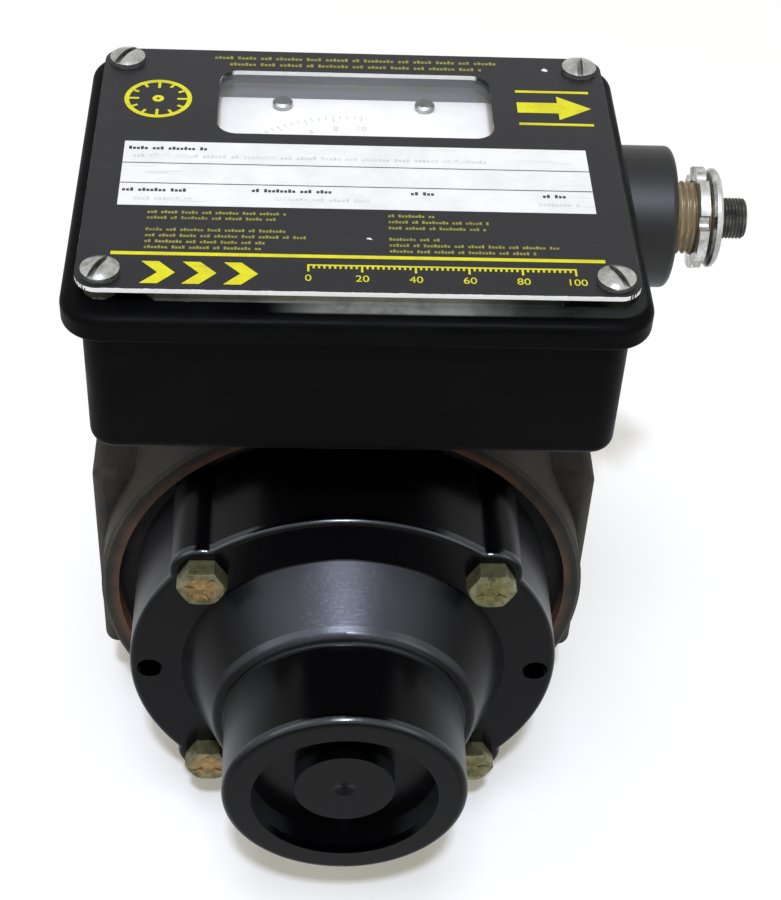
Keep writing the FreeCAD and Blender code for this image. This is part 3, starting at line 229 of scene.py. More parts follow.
def paint(red, green, blue):
    """Linear colour from the 0 to 255 values of a paint chip."""
    def linear(value):
        share = value / 255
        return share / 12.92 if share <= 0.04045 else ((share + 0.055) / 1.055) ** 2.4

    return linear(red), linear(green), linear(blue), 1.0


# Colours
FLOOR_CREAM = paint(253, 253, 252)
FLOOR_PALE = paint(255, 255, 255)
FLOOR_GLOW = (1.0, 0.975, 0.87, 1.0)
BOX_BLACK = paint(4, 4, 5)
BOX_BLACK_WARM = paint(8, 8, 8)
BONNET_BLACK = paint(5, 5, 6)
# painted sheen on the bonnet: metallic grey where highlights fall, and pale scratches painting the crown's
# highlight
BONNET_SHEEN_GREY = paint(64, 65, 69)
BONNET_SCRATCH_HIGHLIGHT = paint(98, 105, 116)
BARE_CASTING = paint(168, 168, 162)
BOX_INNER_GREY = paint(138, 141, 152)
IRON_DARK = paint(30, 28, 24)
IRON_GREY = paint(58, 56, 48)
IRON_RUBBED = paint(112, 106, 92)
RIM_RUST = paint(92, 64, 48)
RECESS_BROWN = paint(140, 94, 70)
RECESS_DARK = paint(104, 78, 60)
# near black of the painted shade where the body is closed in
PAINTED_SHADE_BLACK = paint(9, 9, 8)
RUST_BROWN = paint(96, 62, 38)
PLATE_SLATE = paint(13, 13, 16)
PLATE_SLATE_PALE = paint(20, 20, 23)
ALUMINIUM = paint(240, 240, 236)
ALUMINIUM_DULL = paint(176, 176, 172)
PRINT_YELLOW = paint(216, 210, 24)
PRINT_YELLOW_WORN = paint(180, 174, 46)
NOTE_YELLOW = paint(142, 138, 56)
NOTE_YELLOW_WORN = paint(104, 101, 52)
FIELD_SILVER = paint(228, 228, 226)
FIELD_SILVER_DULL = paint(208, 208, 205)
PRINT_INK = paint(58, 58, 60)
ENTRY_GREY = paint(190, 190, 188)
ZINC_KHAKI = paint(128, 125, 92)
ZINC_DULL = paint(70, 67, 45)
ZINC_AMBER = paint(172, 134, 80)
ZINC_BROWN = paint(100, 72, 42)
ZINC_OLIVE = paint(118, 113, 60)
ZINC_MOSS = paint(66, 63, 33)
RING_ZINC = paint(214, 214, 211)
RING_ZINC_DULL = paint(132, 131, 127)
SCREW_STEEL = paint(188, 188, 184)
SCREW_STEEL_DULL = paint(132, 131, 126)
# dark of dirt and of painted shade in hollows; also the worn tone of line ink
GRIME = paint(26, 24, 20)
# pale dusty grey, also a painted sheen on the box's lip and ledge
LIP_DUST_AND_SHEEN = paint(166, 167, 160)
NIPPLE_TAN = paint(176, 156, 116)
NIPPLE_BROWN = paint(100, 70, 40)
NIPPLE_PALE = paint(214, 207, 176)
CONNECTOR_GREY = paint(140, 140, 134)
CONNECTOR_DARK = paint(70, 70, 67)
SCALE_WHITE = paint(251, 250, 244)
SCALE_SMUDGE = paint(242, 241, 234)
SCALE_INK = paint(176, 176, 172)
RUBBER = paint(24, 24, 24)
RUBBER_PALE = paint(44, 43, 41)
STEEL = paint(176, 178, 178)
STEEL_DULL = paint(128, 128, 126)
BRASS = paint(198, 162, 90)
BRASS_DULL = paint(146, 116, 62)
PHENOLIC = paint(30, 27, 25)
PHENOLIC_PALE = paint(52, 47, 43)
POINTER_STEEL = paint(112, 113, 115)
POINTER_STEEL_DULL = paint(80, 80, 82)
THREAD_IRON = paint(120, 112, 98)
THREAD_RUST = paint(88, 74, 58)


# Node helpers

def add(tree, kind, given=None, **settings):
    """New shader node; a given socket is linked to its input and any other value is set there."""
    node = tree.nodes.new("ShaderNode" + kind)
    for name, value in settings.items():
        setattr(node, name, value)
    for name, value in (given or {}).items():
        if isinstance(value, bpy.types.NodeSocket):
            tree.links.new(value, node.inputs[name])
        else:
            node.inputs[name].default_value = value
    return node


def calc(tree, operation, first, second=0.0):
    return add(tree, "Math", {0: first, 1: second}, operation=operation).outputs[0]


def plus(tree, first, second):
    return calc(tree, "ADD", first, second)


def minus(tree, first, second):
    return calc(tree, "SUBTRACT", first, second)


def times(tree, first, *others):
    for other in others:
        first = calc(tree, "MULTIPLY", first, other)
    return first


def most(tree, first, *others):
    for other in others:
        first = calc(tree, "MAXIMUM", first, other)
    return first


def measure(tree, operation, first, second=(0.0, 0.0, 0.0)):
    """Number from one or two vectors, such as a length."""
    return add(tree, "VectorMath", {0: first, 1: second}, operation=operation).outputs["Value"]


def ramp(tree, value, low, high, start=0.0, end=1.0):
    """Smooth step of a value from low to high, given out between start and end."""
    given = {"Value": value, "From Min": low, "From Max": high, "To Min": start, "To Max": end}
    return add(tree, "MapRange", given, interpolation_type="SMOOTHSTEP").outputs[0]


def over(tree, place, span, start=0.0, end=1.0, base=0.0):
    """Smooth step of a place over a span in millimetres, which is counted from a base in metres."""
    return ramp(tree, place, base + span[0] * MM, base + span[1] * MM, start, end)


def between(tree, share, first, second):
    """Colour that goes from the first to the second as the share grows."""
    return add(tree, "Mix", {0: share, 6: first, 7: second}, data_type="RGBA").outputs[2]


def own_place(tree):
    return add(tree, "TexCoord").outputs["Object"]


def noise(tree, scale, detail=3.0, roughness=0.55, place=None):
    given = {"Vector": place or own_place(tree), "Scale": scale, "Detail": detail, "Roughness": roughness}
    return add(tree, "TexNoise", given).outputs[0]


def axes(tree, vector):
    return add(tree, "SeparateXYZ", {0: vector}).outputs


def facing(tree):
    return add(tree, "NewGeometry").outputs["Normal"]


# Shared effects

def start_group(name, results, **given):
    """Empty node group with number inputs and outputs, and its sockets by name."""
    tree = bpy.data.node_groups.new(name, "ShaderNodeTree")
    for label, value in given.items():
        tree.interface.new_socket(label, in_out="INPUT", socket_type=FLOAT).default_value = value
    for label in results:
        tree.interface.new_socket(label, in_out="OUTPUT", socket_type=FLOAT)
    return tree, tree.nodes.new("NodeGroupInput").outputs, tree.nodes.new("NodeGroupOutput").inputs


def use(tree, group, **given):
    """A shared effect placed in a material with its own values; returns its outputs."""
    return add(tree, "Group", given, node_tree=bpy.data.node_groups[group]).outputs


def make_edge_rub():
    """Sharp edges where a finish is rubbed through, in broken patches."""
    tree, given, result = start_group("edge_rub", ["Mask"], Reach=0.6 * MM, Grain=900.0, Cover=0.3)
    rounded = add(tree, "Bevel", {"Radius": given["Reach"]}, samples=6).outputs[0]
    match = measure(tree, "DOT_PRODUCT", rounded, facing(tree))
    edge = ramp(tree, minus(tree, 1.0, match), 0.01, 0.12)
    patches = plus(tree, noise(tree, given["Grain"], 4.0), given["Cover"])
    tree.links.new(ramp(tree, times(tree, edge, patches), 0.5, 0.66), result["Mask"])


def make_crevice_dirt_and_shade():
    """Dirt and painted shade in slots, grooves and corners, stronger the more closed in they are."""
    tree, given, result = start_group("crevice_dirt_and_shade", ["Mask"], Reach=2.0 * MM, Grain=700.0)
    open_share = add(tree, "AmbientOcclusion", {"Distance": given["Reach"]}, samples=8).outputs["AO"]
    shut = minus(tree, 1.0, open_share)
    patches = plus(tree, noise(tree, given["Grain"]), 0.45)
    tree.links.new(ramp(tree, times(tree, shut, patches), 0.12, 0.6), result["Mask"])


def make_enamel_skin():
    """Sprayed enamel: a low orange-peel height and a slow change of gloss."""
    tree, given, result = start_group("enamel_skin", ["Height", "Gloss"], Grain=700.0)
    tree.links.new(noise(tree, given["Grain"], 2.0), result["Height"])
    slow = times(tree, given["Grain"], 0.05)
    tree.links.new(ramp(tree, noise(tree, slow, 5.0, 0.65), 0.3, 0.7), result["Gloss"])


def make_settled_dust():
    """Dust on faces that look up, in uneven patches."""
    tree, given, result = start_group("settled_dust", ["Mask"], Grain=160.0, Cover=0.3, Level=0.8)
    level = ramp(tree, axes(tree, facing(tree))["Z"], given["Level"], 1.0)
    patches = ramp(tree, plus(tree, noise(tree, given["Grain"], 6.0, 0.7), given["Cover"]), 0.55, 1.05)
    tree.links.new(times(tree, level, patches), result["Mask"])


def make_fine_scuffs():
    """Hair scratches in two directions."""
    tree, given, result = start_group("fine_scuffs", ["Mask"], Grain=60.0, Cover=0.3)
    place = own_place(tree)
    total = None
    for turn, squeeze in ((0.6, 14.0), (-0.95, 19.0)):
        drawn_out = {"Vector": place, "Rotation": (0.3, turn, turn), "Scale": (1.0, squeeze, squeeze)}
        line = noise(tree, given["Grain"], 2.0, 0.5, add(tree, "Mapping", drawn_out).outputs[0])
        sharp = ramp(tree, plus(tree, line, times(tree, given["Cover"], 0.2)), 0.66, 0.74)
        total = sharp if total is None else most(tree, total, sharp)
    patch = ramp(tree, noise(tree, times(tree, given["Grain"], 0.6), 2.0), 0.42, 0.62)
    tree.links.new(times(tree, total, patch), result["Mask"])


def make_stray_chips():
    """Rare small chips, each one dot of a scattered pattern."""
    tree, given, result = start_group("stray_chips", ["Mask"], Grain=90.0, Size=0.08, Rare=0.62)
    ragged = times(tree, noise(tree, times(tree, given["Grain"], 14.0), 3.0), given["Size"], 2.0)
    cells = {"Vector": own_place(tree), "Scale": given["Grain"], "Randomness": 1.0}
    dot = calc(tree, "LESS_THAN", add(tree, "TexVoronoi", cells).outputs["Distance"], ragged)
    some = calc(tree, "GREATER_THAN", noise(tree, times(tree, given["Grain"], 0.5), 1.0), given["Rare"])
    tree.links.new(times(tree, dot, some), result["Mask"])


def make_cast_grain():
    """Sand-cast skin: pits and lumps, and slow patches of tone."""
    tree, given, result = start_group("cast_grain", ["Height", "Tone"], Grain=800.0)
    lumps = noise(tree, given["Grain"], 5.0, 0.7)
    cells = {"Vector": own_place(tree), "Scale": times(tree, given["Grain"], 0.7)}
    pits = ramp(tree, add(tree, "TexVoronoi", cells).outputs["Distance"], 0.05, 0.4)
    tree.links.new(times(tree, lumps, pits), result["Height"])
    slow = times(tree, given["Grain"], 0.07)
    tree.links.new(ramp(tree, noise(tree, slow, 6.0, 0.7), 0.3, 0.72), result["Tone"])


def make_rust_bloom():
    """Patches of rust, and the tone from brown to orange inside them."""
    tree, given, result = start_group("rust_bloom", ["Mask", "Tone"], Grain=120.0, Cover=0.3)
    spread = plus(tree, noise(tree, given["Grain"], 7.0, 0.72), given["Cover"])
    tree.links.new(ramp(tree, spread, 0.68, 0.98), result["Mask"])
    fine = times(tree, given["Grain"], 5.0)
    tree.links.new(ramp(tree, noise(tree, fine, 4.0), 0.3, 0.75), result["Tone"])


def make_tarnish():
    """Cloudy change of tone on bare or plated metal."""
    tree, given, result = start_group("tarnish", ["Tone", "Fine"], Grain=200.0)
    tree.links.new(ramp(tree, noise(tree, given["Grain"], 6.0, 0.7), 0.32, 0.7), result["Tone"])
    fine = times(tree, given["Grain"], 9.0)
    tree.links.new(noise(tree, fine, 2.0), result["Fine"])


def make_shared_effects():
    make_edge_rub()
    make_crevice_dirt_and_shade()
    make_enamel_skin()
    make_settled_dust()
    make_fine_scuffs()
    make_stray_chips()
    make_cast_grain()
    make_rust_bloom()
    make_tarnish()


# Materials

def start_material(name, **constants):
    """Material with one Principled shader, whose even values are set on its own sockets."""
    material = bpy.data.materials.new(name)
    material.use_nodes = True
    tree = material.node_tree
    tree.nodes.clear()
    surface = add(tree, "BsdfPrincipled")
    for label, value in constants.items():
        surface.inputs[label.replace("_", " ")].default_value = value
    output = add(tree, "OutputMaterial")
    tree.links.new(surface.outputs[0], output.inputs["Surface"])
    return material, tree, surface


def set_surface(tree, surface, **sockets):
    for label, socket in sockets.items():
        tree.links.new(socket, surface.inputs[label.replace("_", " ")])


def show_instead(tree, surface, share, other):
    """Let another shader stand for the surface by a share."""
    mixed = add(tree, "MixShader", {0: share, 1: surface.outputs[0], 2: other.outputs[0]})
    output = next(node for node in tree.nodes if node.type == "OUTPUT_MATERIAL")
    tree.links.new(mixed.outputs[0], output.inputs["Surface"])


def bump(tree, height, depth):
    """Normal from a height that changes over the surface; the depth is in millimetres."""
    return add(tree, "Bump", {"Height": height, "Distance": depth * MM}).outputs[0]


def uneven(tree, level, spread, share):
    """A value that rises from a level by a spread as the share grows."""
    return plus(tree, times(tree, share, spread), level)


def within(tree, value, reach):
    """One where the size of a value is under a reach, else nothing."""
    return calc(tree, "LESS_THAN", calc(tree, "ABSOLUTE", value), reach)


def box_inside(tree):
    """One on the faces inside the control box, below its ledge."""
    lip_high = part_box("lid_gasket")[1]
    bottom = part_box("control_box")[0].z + BOX_FLOOR * MM
    top = (BOX_LEDGE_Z - BOX_INNER_EDGE) * MM
    place = axes(tree, own_place(tree))
    across = within(tree, place["X"], lip_high.x - BOX_LIP_HALF * MM)
    along = within(tree, place["Y"], lip_high.y - BOX_LIP_HALF * MM)
    height = within(tree, minus(tree, place["Z"], (bottom + top) / 2), (top - bottom) / 2)
    return times(tree, across, along, height)


def edge_inset(tree, node, corner_r):
    """Distance inwards from a plate's rounded outline."""
    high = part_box(node)[1]
    place = axes(tree, own_place(tree))
    past_x = minus(tree, calc(tree, "ABSOLUTE", place["X"]), high.x - corner_r)
    past_y = minus(tree, calc(tree, "ABSOLUTE", place["Y"]), high.y - corner_r)
    out_x = calc(tree, "POWER", most(tree, past_x, 0.0), 2.0)
    out_y = calc(tree, "POWER", most(tree, past_y, 0.0), 2.0)
    round_part = calc(tree, "SQRT", plus(tree, out_x, out_y))
    flat_part = calc(tree, "MINIMUM", most(tree, past_x, past_y), 0.0)
    return minus(tree, minus(tree, corner_r, round_part), flat_part)


def lip_dust_and_sheen(tree):
    """Pale dusty patches and painted sheen around the lid plate, on the box's lip and ledge, thinner towards
    both ends; they lighten the lip that the plate shades.
    """
    place = axes(tree, own_place(tree))
    on_top = calc(tree, "GREATER_THAN", place["Z"], (BOX_LEDGE_Z - BOX_LEDGE_EASE) * MM)
    by_lip = over(tree, edge_inset(tree, "nameplate", PLATE_CORNER_R * MM), DUST_AND_SHEEN_BAND)
    upwards = ramp(tree, axes(tree, facing(tree))["Z"], 0.3, 0.9)
    on_lip = over(tree, place["X"], LIP_DUST_AND_SHEEN_X, 0.3, 1.0)
    on_ledge = over(tree, place["X"], LEDGE_DUST_AND_SHEEN_X, 0.0, 0.5)
    share = add(tree, "Mix", {0: upwards, 2: on_lip, 3: on_ledge}).outputs[0]
    share = times(tree, share, over(tree, place["X"], DUST_AND_SHEEN_END_X, 1.0, 0.12))
    dust_and_sheen = use(tree, "settled_dust", Grain=90.0, Cover=0.45, Level=-3.0)["Mask"]
    return times(tree, dust_and_sheen, share, by_lip, on_top)


def box_enamel():
    """Black sprayed box: dull skin, rubbed edges, a dusty lip with painted sheen, a waxy side hub and a grey
    casting inside.
    """
    material, tree, surface = start_material("box_enamel", Specular_IOR_Level=0.03, Coat_Roughness=0.45)
    place = axes(tree, own_place(tree))
    dust_and_sheen = lip_dust_and_sheen(tree)
    hub = calc(tree, "GREATER_THAN", place["X"], BOX_RIM_X * MM)
    foot = over(tree, place["Z"], BOX_FOOT, 0.5, 0.0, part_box("control_box")[0].z)
    wax = most(tree, times(tree, hub, 0.75), foot)
    skin = use(tree, "enamel_skin", Grain=900.0)
    rub = use(tree, "edge_rub", Reach=0.5 * MM, Grain=420.0, Cover=-0.06)["Mask"]
    chips = use(tree, "stray_chips", Grain=70.0, Size=0.05, Rare=0.66)["Mask"]
    colour = between(tree, skin["Gloss"], BOX_BLACK, BOX_BLACK_WARM)
    # dusty patches and painted sheen on the lip and ledge
    colour = between(tree, dust_and_sheen, colour, LIP_DUST_AND_SHEEN)
    colour = between(tree, most(tree, rub, chips), colour, BARE_CASTING)
    colour = between(tree, box_inside(tree), colour, BOX_INNER_GREY)
    roughness = uneven(tree, 0.36, 0.16, skin["Gloss"])
    roughness = plus(tree, roughness, times(tree, dust_and_sheen, 0.3))
    normal = bump(tree, skin["Height"], 0.03)
    set_surface(tree, surface, Base_Color=colour, Roughness=roughness, Coat_Weight=wax, Normal=normal)
    return material


def from_bonnet_axis(tree):
    """Vector straight outwards from the bonnet's axis."""
    place = axes(tree, own_place(tree))
    height = minus(tree, place["Z"], BONNET_AXIS_Z * MM)
    return add(tree, "CombineXYZ", {"X": place["X"], "Z": height}).outputs[0]


def bonnet_radius(tree):
    """Distance from the bonnet's axis."""
    return measure(tree, "LENGTH", from_bonnet_axis(tree))


def bonnet_edges(tree):
    """One on the bonnet's rounded front edges that look up, where a painted sheen goes."""
    along = axes(tree, own_place(tree))["Y"]
    radius = bonnet_radius(tree)
    near = 0.0
    for y, least_r in BONNET_EDGES:
        by_edge = within(tree, minus(tree, along, y * MM), BONNET_EDGE_HALF * MM)
        outside = calc(tree, "GREATER_THAN", radius, least_r * MM)
        near = most(tree, near, times(tree, by_edge, outside))
    normal = axes(tree, facing(tree))
    rounded = times(tree, ramp(tree, normal["Y"], -0.9, -0.7), ramp(tree, normal["Z"], 0.3, 0.7))
    return times(tree, near, rounded)


def bonnet_flanks(tree):
    """Rises to one on the bonnet's sides that look left and right, where a painted sheen goes."""
    normal = axes(tree, facing(tree))
    aside = ramp(tree, calc(tree, "ABSOLUTE", normal["X"]), 0.5, 0.95)
    return times(tree, aside, ramp(tree, normal["Y"], -0.5, -0.2))


def bonnet_enamel():
    """Black enamelled bonnet: a painted sheen of metallic grey on crown, edges and flanks, pale scratches
    that paint the crown's highlight, chipped at the flange's edge.
    """
    material, tree, surface = start_material("bonnet_enamel", Specular_IOR_Level=0.085)
    away = measure(tree, "DISTANCE", own_place(tree), Vector(HUB_CROWN) * MM)
    along = minus(tree, axes(tree, own_place(tree))["Y"], HUB_MID_Y * MM)
    on_hub = within(tree, along, HUB_HALF * MM)
    crown = times(tree, over(tree, away, HUB_SHEEN_R, 0.8, 0.0), on_hub)
    edges = bonnet_edges(tree)
    flanks = times(tree, bonnet_flanks(tree), 0.5)
    # painted sheen: metallic grey on crown, edges and flanks, where highlights fall
    sheen = most(tree, crown, edges, flanks)
    hatch = use(tree, "fine_scuffs", Grain=170.0, Cover=0.55)["Mask"]
    speckle = ramp(tree, noise(tree, 1500.0, 4.0, 0.7), 0.48, 0.75)
    near = times(tree, over(tree, away, HUB_SCRATCH_HIGHLIGHT_R, 0.3, 0.0), on_hub)
    # scratches at the crown, painted pale where its highlight lies
    scratches_and_highlight = times(tree, near, most(tree, hatch, speckle))
    skin = use(tree, "enamel_skin", Grain=520.0)
    rub = use(tree, "edge_rub", Reach=0.7 * MM, Grain=260.0, Cover=-0.06)["Mask"]
    rub = times(tree, rub, calc(tree, "GREATER_THAN", bonnet_radius(tree), FLANGE_RUB_R * MM))
    chips = use(tree, "stray_chips", Grain=62.0, Size=0.045, Rare=0.64)["Mask"]
    bare = most(tree, rub, chips)
    colour = between(tree, sheen, BONNET_BLACK, BONNET_SHEEN_GREY)
    colour = between(tree, scratches_and_highlight, colour, BONNET_SCRATCH_HIGHLIGHT)
    colour = between(tree, bare, colour, BARE_CASTING)
    dull = times(tree, most(tree, crown, flanks), 0.2)
    roughness = plus(tree, uneven(tree, 0.22, 0.06, skin["Gloss"]), dull)
    roughness = minus(tree, roughness, times(tree, edges, 0.08))
    normal = bump(tree, skin["Height"], 0.03)
    set_surface(tree, surface, Base_Color=colour, Roughness=roughness, Metallic=sheen, Normal=normal)
    return material


def recess_wall(tree):
    """One on the wall of the body's round recess, which looks inwards at the bonnet."""
    outwards = add(tree, "VectorMath", {0: from_bonnet_axis(tree)}, operation="NORMALIZE").outputs[0]
    match = measure(tree, "DOT_PRODUCT", outwards, facing(tree))
    inwards = ramp(tree, match, -0.7, -0.3, 1.0, 0.0)
    along = axes(tree, own_place(tree))["Y"]
    return times(tree, inwards, over(tree, along, RECESS_DEPTH, 1.0, 0.0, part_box("flow_body")[0].y))


def rim_edge(tree):
    """Rises to a share on the inner edge of the body's front rim."""
    behind = minus(tree, axes(tree, own_place(tree))["Y"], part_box("flow_body")[0].y)
    by_front = within(tree, behind, RIM_RUST_DEPTH * MM)
    spread = ramp(tree, noise(tree, 60.0, 4.0, 0.6), 0.35, 0.65, 0.2, 0.75)
    inner = over(tree, bonnet_radius(tree), RIM_RUST_R, 1.0, 0.0)
    return times(tree, by_front, spread, inner)


def body_iron():
    """Sand-cast iron under thin dark paint, rusty in the bonnet recess, with painted shade where it is
    closed in.
    """
    material, tree, surface = start_material("body_iron", Specular_IOR_Level=0.25)
    grain = use(tree, "cast_grain", Grain=850.0)
    rust = use(tree, "rust_bloom", Grain=95.0, Cover=0.2)
    rub = use(tree, "edge_rub", Reach=1.2 * MM, Grain=300.0, Cover=0.12)["Mask"]
    # painted shade: near black where the body is closed in, within 60 mm, such as under the box
    painted_shade = use(tree, "crevice_dirt_and_shade", Reach=60.0 * MM, Grain=40.0)["Mask"]
    recess = recess_wall(tree)
    colour = between(tree, grain["Tone"], IRON_DARK, IRON_GREY)
    colour = between(tree, times(tree, rust["Mask"], 0.25), colour, RUST_BROWN)
    colour = between(tree, times(tree, rub, 0.5), colour, IRON_RUBBED)
    colour = between(tree, painted_shade, colour, PAINTED_SHADE_BLACK)
    colour = between(tree, rim_edge(tree), colour, RIM_RUST)
    colour = between(tree, recess, colour, between(tree, rust["Tone"], RECESS_DARK, RECESS_BROWN))
    roughness = uneven(tree, 0.62, 0.25, grain["Tone"])
    normal = bump(tree, grain["Height"], 0.22)
    set_surface(tree, surface, Base_Color=colour, Roughness=roughness, Normal=normal)
    return material


def plate_bare(tree):
    """One where the lid plate's aluminium shows: its cut edges, a ragged front border and a few chips."""
    low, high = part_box("nameplate")
    place = axes(tree, own_place(tree))
    normal = axes(tree, facing(tree))
    to_front = ramp(tree, normal["Y"], -0.98, -0.9, 1.0, 0.0)
    to_side = ramp(tree, calc(tree, "ABSOLUTE", normal["X"]), 0.5, 0.9)
    worn_side = times(tree, to_side, ramp(tree, noise(tree, 160.0, 5.0, 0.7), 0.5, 0.62, 0.0, 0.8))
    least, deepest = PLATE_CHIP_DEPTH
    ragged = ramp(tree, noise(tree, 330.0, 6.0, 0.75), 0.36, 0.72, least * MM, deepest * MM)
    share = over(tree, place["Y"], PLATE_BORDER_Y, 1.0, 0.3, low.y)
    corner = over(tree, calc(tree, "ABSOLUTE", place["X"]), PLATE_CORNER_X, 1.0, 0.15, high.x)
    reach = times(tree, ragged, share, corner)
    border = calc(tree, "LESS_THAN", edge_inset(tree, "nameplate", PLATE_CORNER_R * MM), reach)
    chips = use(tree, "stray_chips", Grain=58.0, Size=0.06, Rare=0.62)["Mask"]
    return most(tree, border, chips, to_front, worn_side)


def plate_slate():
    """Black anodised lid plate, with bare aluminium where it is cut, worn or chipped."""
    material, tree, surface = start_material("plate_slate", Specular_IOR_Level=0.3)
    bare = plate_bare(tree)
    hair = use(tree, "fine_scuffs", Grain=60.0, Cover=0.05)["Mask"]
    cloud = use(tree, "tarnish", Grain=70.0)
    slate = between(tree, cloud["Tone"], PLATE_SLATE, PLATE_SLATE_PALE)
    slate = between(tree, times(tree, hair, 0.02), slate, ALUMINIUM_DULL)
    metal = between(tree, times(tree, cloud["Fine"], 0.3), ALUMINIUM, ALUMINIUM_DULL)
    colour = between(tree, bare, slate, metal)
    roughness = uneven(tree, 0.34, 0.12, cloud["Tone"])
    metallic = times(tree, bare, 0.15)
    height = plus(tree, times(tree, bare, -0.5), cloud["Fine"])
    normal = bump(tree, height, 0.02)
    set_surface(tree, surface, Base_Color=colour, Roughness=roughness, Metallic=metallic, Normal=normal)
    return material


def printed(name, fresh, worn, grain):
    """Screen print: one colour, thin and uneven in places."""
    material, tree, surface = start_material(name, Specular_IOR_Level=0.3)
    cloud = use(tree, "tarnish", Grain=grain)
    hair = use(tree, "fine_scuffs", Grain=48.0, Cover=0.3)["Mask"]
    share = most(tree, times(tree, cloud["Tone"], 0.6), hair)
    roughness = uneven(tree, 0.4, 0.2, cloud["Tone"])
    normal = bump(tree, cloud["Fine"], 0.01)
    colour = between(tree, share, fresh, worn)
    set_surface(tree, surface, Base_Color=colour, Roughness=roughness, Normal=normal)
    return material


def plated(name, bright, dull, grain=240.0, low_rough=0.14, rough_spread=0.2, grime_and_shade=0.9, reach=1.2):
    """Bright plating with cloudy patches, hair scratches, and dirt with painted shade that reaches so far
    from its corners.
    """
    material, tree, surface = start_material(name)
    cloud = use(tree, "tarnish", Grain=grain)
    hair = use(tree, "fine_scuffs", Grain=120.0, Cover=0.4)["Mask"]
    # darker in hollows: dirt and painted shade
    dirt_and_shade = use(tree, "crevice_dirt_and_shade", Reach=reach * MM, Grain=600.0)["Mask"]
    share = most(tree, cloud["Tone"], times(tree, hair, 0.6))
    dirt_and_shade = times(tree, dirt_and_shade, grime_and_shade)
    colour = between(tree, dirt_and_shade, between(tree, share, bright, dull), GRIME)
    roughness = uneven(tree, low_rough, rough_spread, share)
    roughness = plus(tree, roughness, times(tree, dirt_and_shade, 0.35))
    metallic = uneven(tree, 1.0, -0.7, dirt_and_shade)
    normal = bump(tree, cloud["Fine"], 0.01)
    set_surface(tree, surface, Base_Color=colour, Roughness=roughness, Metallic=metallic, Normal=normal)
    return material


def bolt_offset():
    """Bolts' distance from the bonnet's axis, sideways and upwards, in metres."""
    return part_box("bonnet_bolts")[1].x - BOLT_AF / math.sqrt(3) * MM


def zinc_bolt():
    """Yellow zinc gone khaki, with amber faces on one side, olive ones on the other, rust, and dirt with
    painted shade in the hollows.
    """
    material, tree, surface = start_material("zinc_bolt")
    low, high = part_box("bonnet_bolts")
    place = axes(tree, own_place(tree))
    aside = minus(tree, calc(tree, "ABSOLUTE", place["X"]), bolt_offset())
    height = calc(tree, "ABSOLUTE", minus(tree, place["Z"], (low.z + high.z) / 2))
    above = minus(tree, height, bolt_offset())
    from_axis = measure(tree, "LENGTH", add(tree, "CombineXYZ", {0: aside, 1: above}).outputs[0])
    centre = over(tree, from_axis, BOLT_TINT_R, 1.0, 0.0)
    cloud = use(tree, "tarnish", Grain=230.0)
    # darker in hollows: dirt and painted shade
    dirt_and_shade = use(tree, "crevice_dirt_and_shade", Reach=1.6 * MM, Grain=500.0)["Mask"]
    rust = use(tree, "rust_bloom", Grain=420.0, Cover=0.12)
    colour = between(tree, cloud["Tone"], ZINC_KHAKI, ZINC_DULL)
    streaks = ramp(tree, noise(tree, 420.0, 3.0, 0.6), 0.3, 0.66)
    amber = between(tree, streaks, ZINC_BROWN, ZINC_AMBER)
    olive = between(tree, streaks, ZINC_MOSS, ZINC_OLIVE)
    tint = between(tree, over(tree, place["X"], BOLT_TINT_X), amber, olive)
    colour = between(tree, times(tree, centre, uneven(tree, 0.85, -0.4, cloud["Tone"])), colour, tint)
    colour = between(tree, times(tree, rust["Mask"], 0.7), colour, RUST_BROWN)
    colour = between(tree, times(tree, dirt_and_shade, 0.85), colour, GRIME)
    roughness = uneven(tree, 0.36, 0.25, cloud["Tone"])
    metallic = uneven(tree, 0.8, -0.5, most(tree, dirt_and_shade, rust["Mask"]))
    normal = bump(tree, cloud["Fine"], 0.03)
    set_surface(tree, surface, Base_Color=colour, Roughness=roughness, Metallic=metallic, Normal=normal)
    return material


def nipple_rust():
    """Old tan pipe thread: pale crests, patches of rust, and roots darkened brown by dirt and painted shade.
    """
    material, tree, surface = start_material("nipple_rust")
    cloud = use(tree, "tarnish", Grain=260.0)
    rust = use(tree, "rust_bloom", Grain=240.0, Cover=0.2)
    # darker in hollows: dirt and painted shade
    dirt_and_shade = use(tree, "crevice_dirt_and_shade", Reach=1.2 * MM, Grain=500.0)["Mask"]
    start_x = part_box("receptacle_shell")[0].x
    past = over(tree, axes(tree, own_place(tree))["X"], NIPPLE_RUST_X, 0.0, 0.5, start_x)
    brown = most(tree, rust["Mask"], times(tree, past, uneven(tree, 1.0, -0.6, cloud["Tone"])))
    colour = between(tree, cloud["Tone"], NIPPLE_PALE, NIPPLE_TAN)
    colour = between(tree, brown, colour, between(tree, rust["Tone"], NIPPLE_BROWN, RUST_BROWN))
    colour = between(tree, times(tree, dirt_and_shade, 0.55), colour, NIPPLE_BROWN)
    roughness = uneven(tree, 0.5, 0.3, rust["Mask"])
    metallic = uneven(tree, 0.45, -0.4, rust["Mask"])
    normal = bump(tree, cloud["Fine"], 0.06)
    set_surface(tree, surface, Base_Color=colour, Roughness=roughness, Metallic=metallic, Normal=normal)
    return material


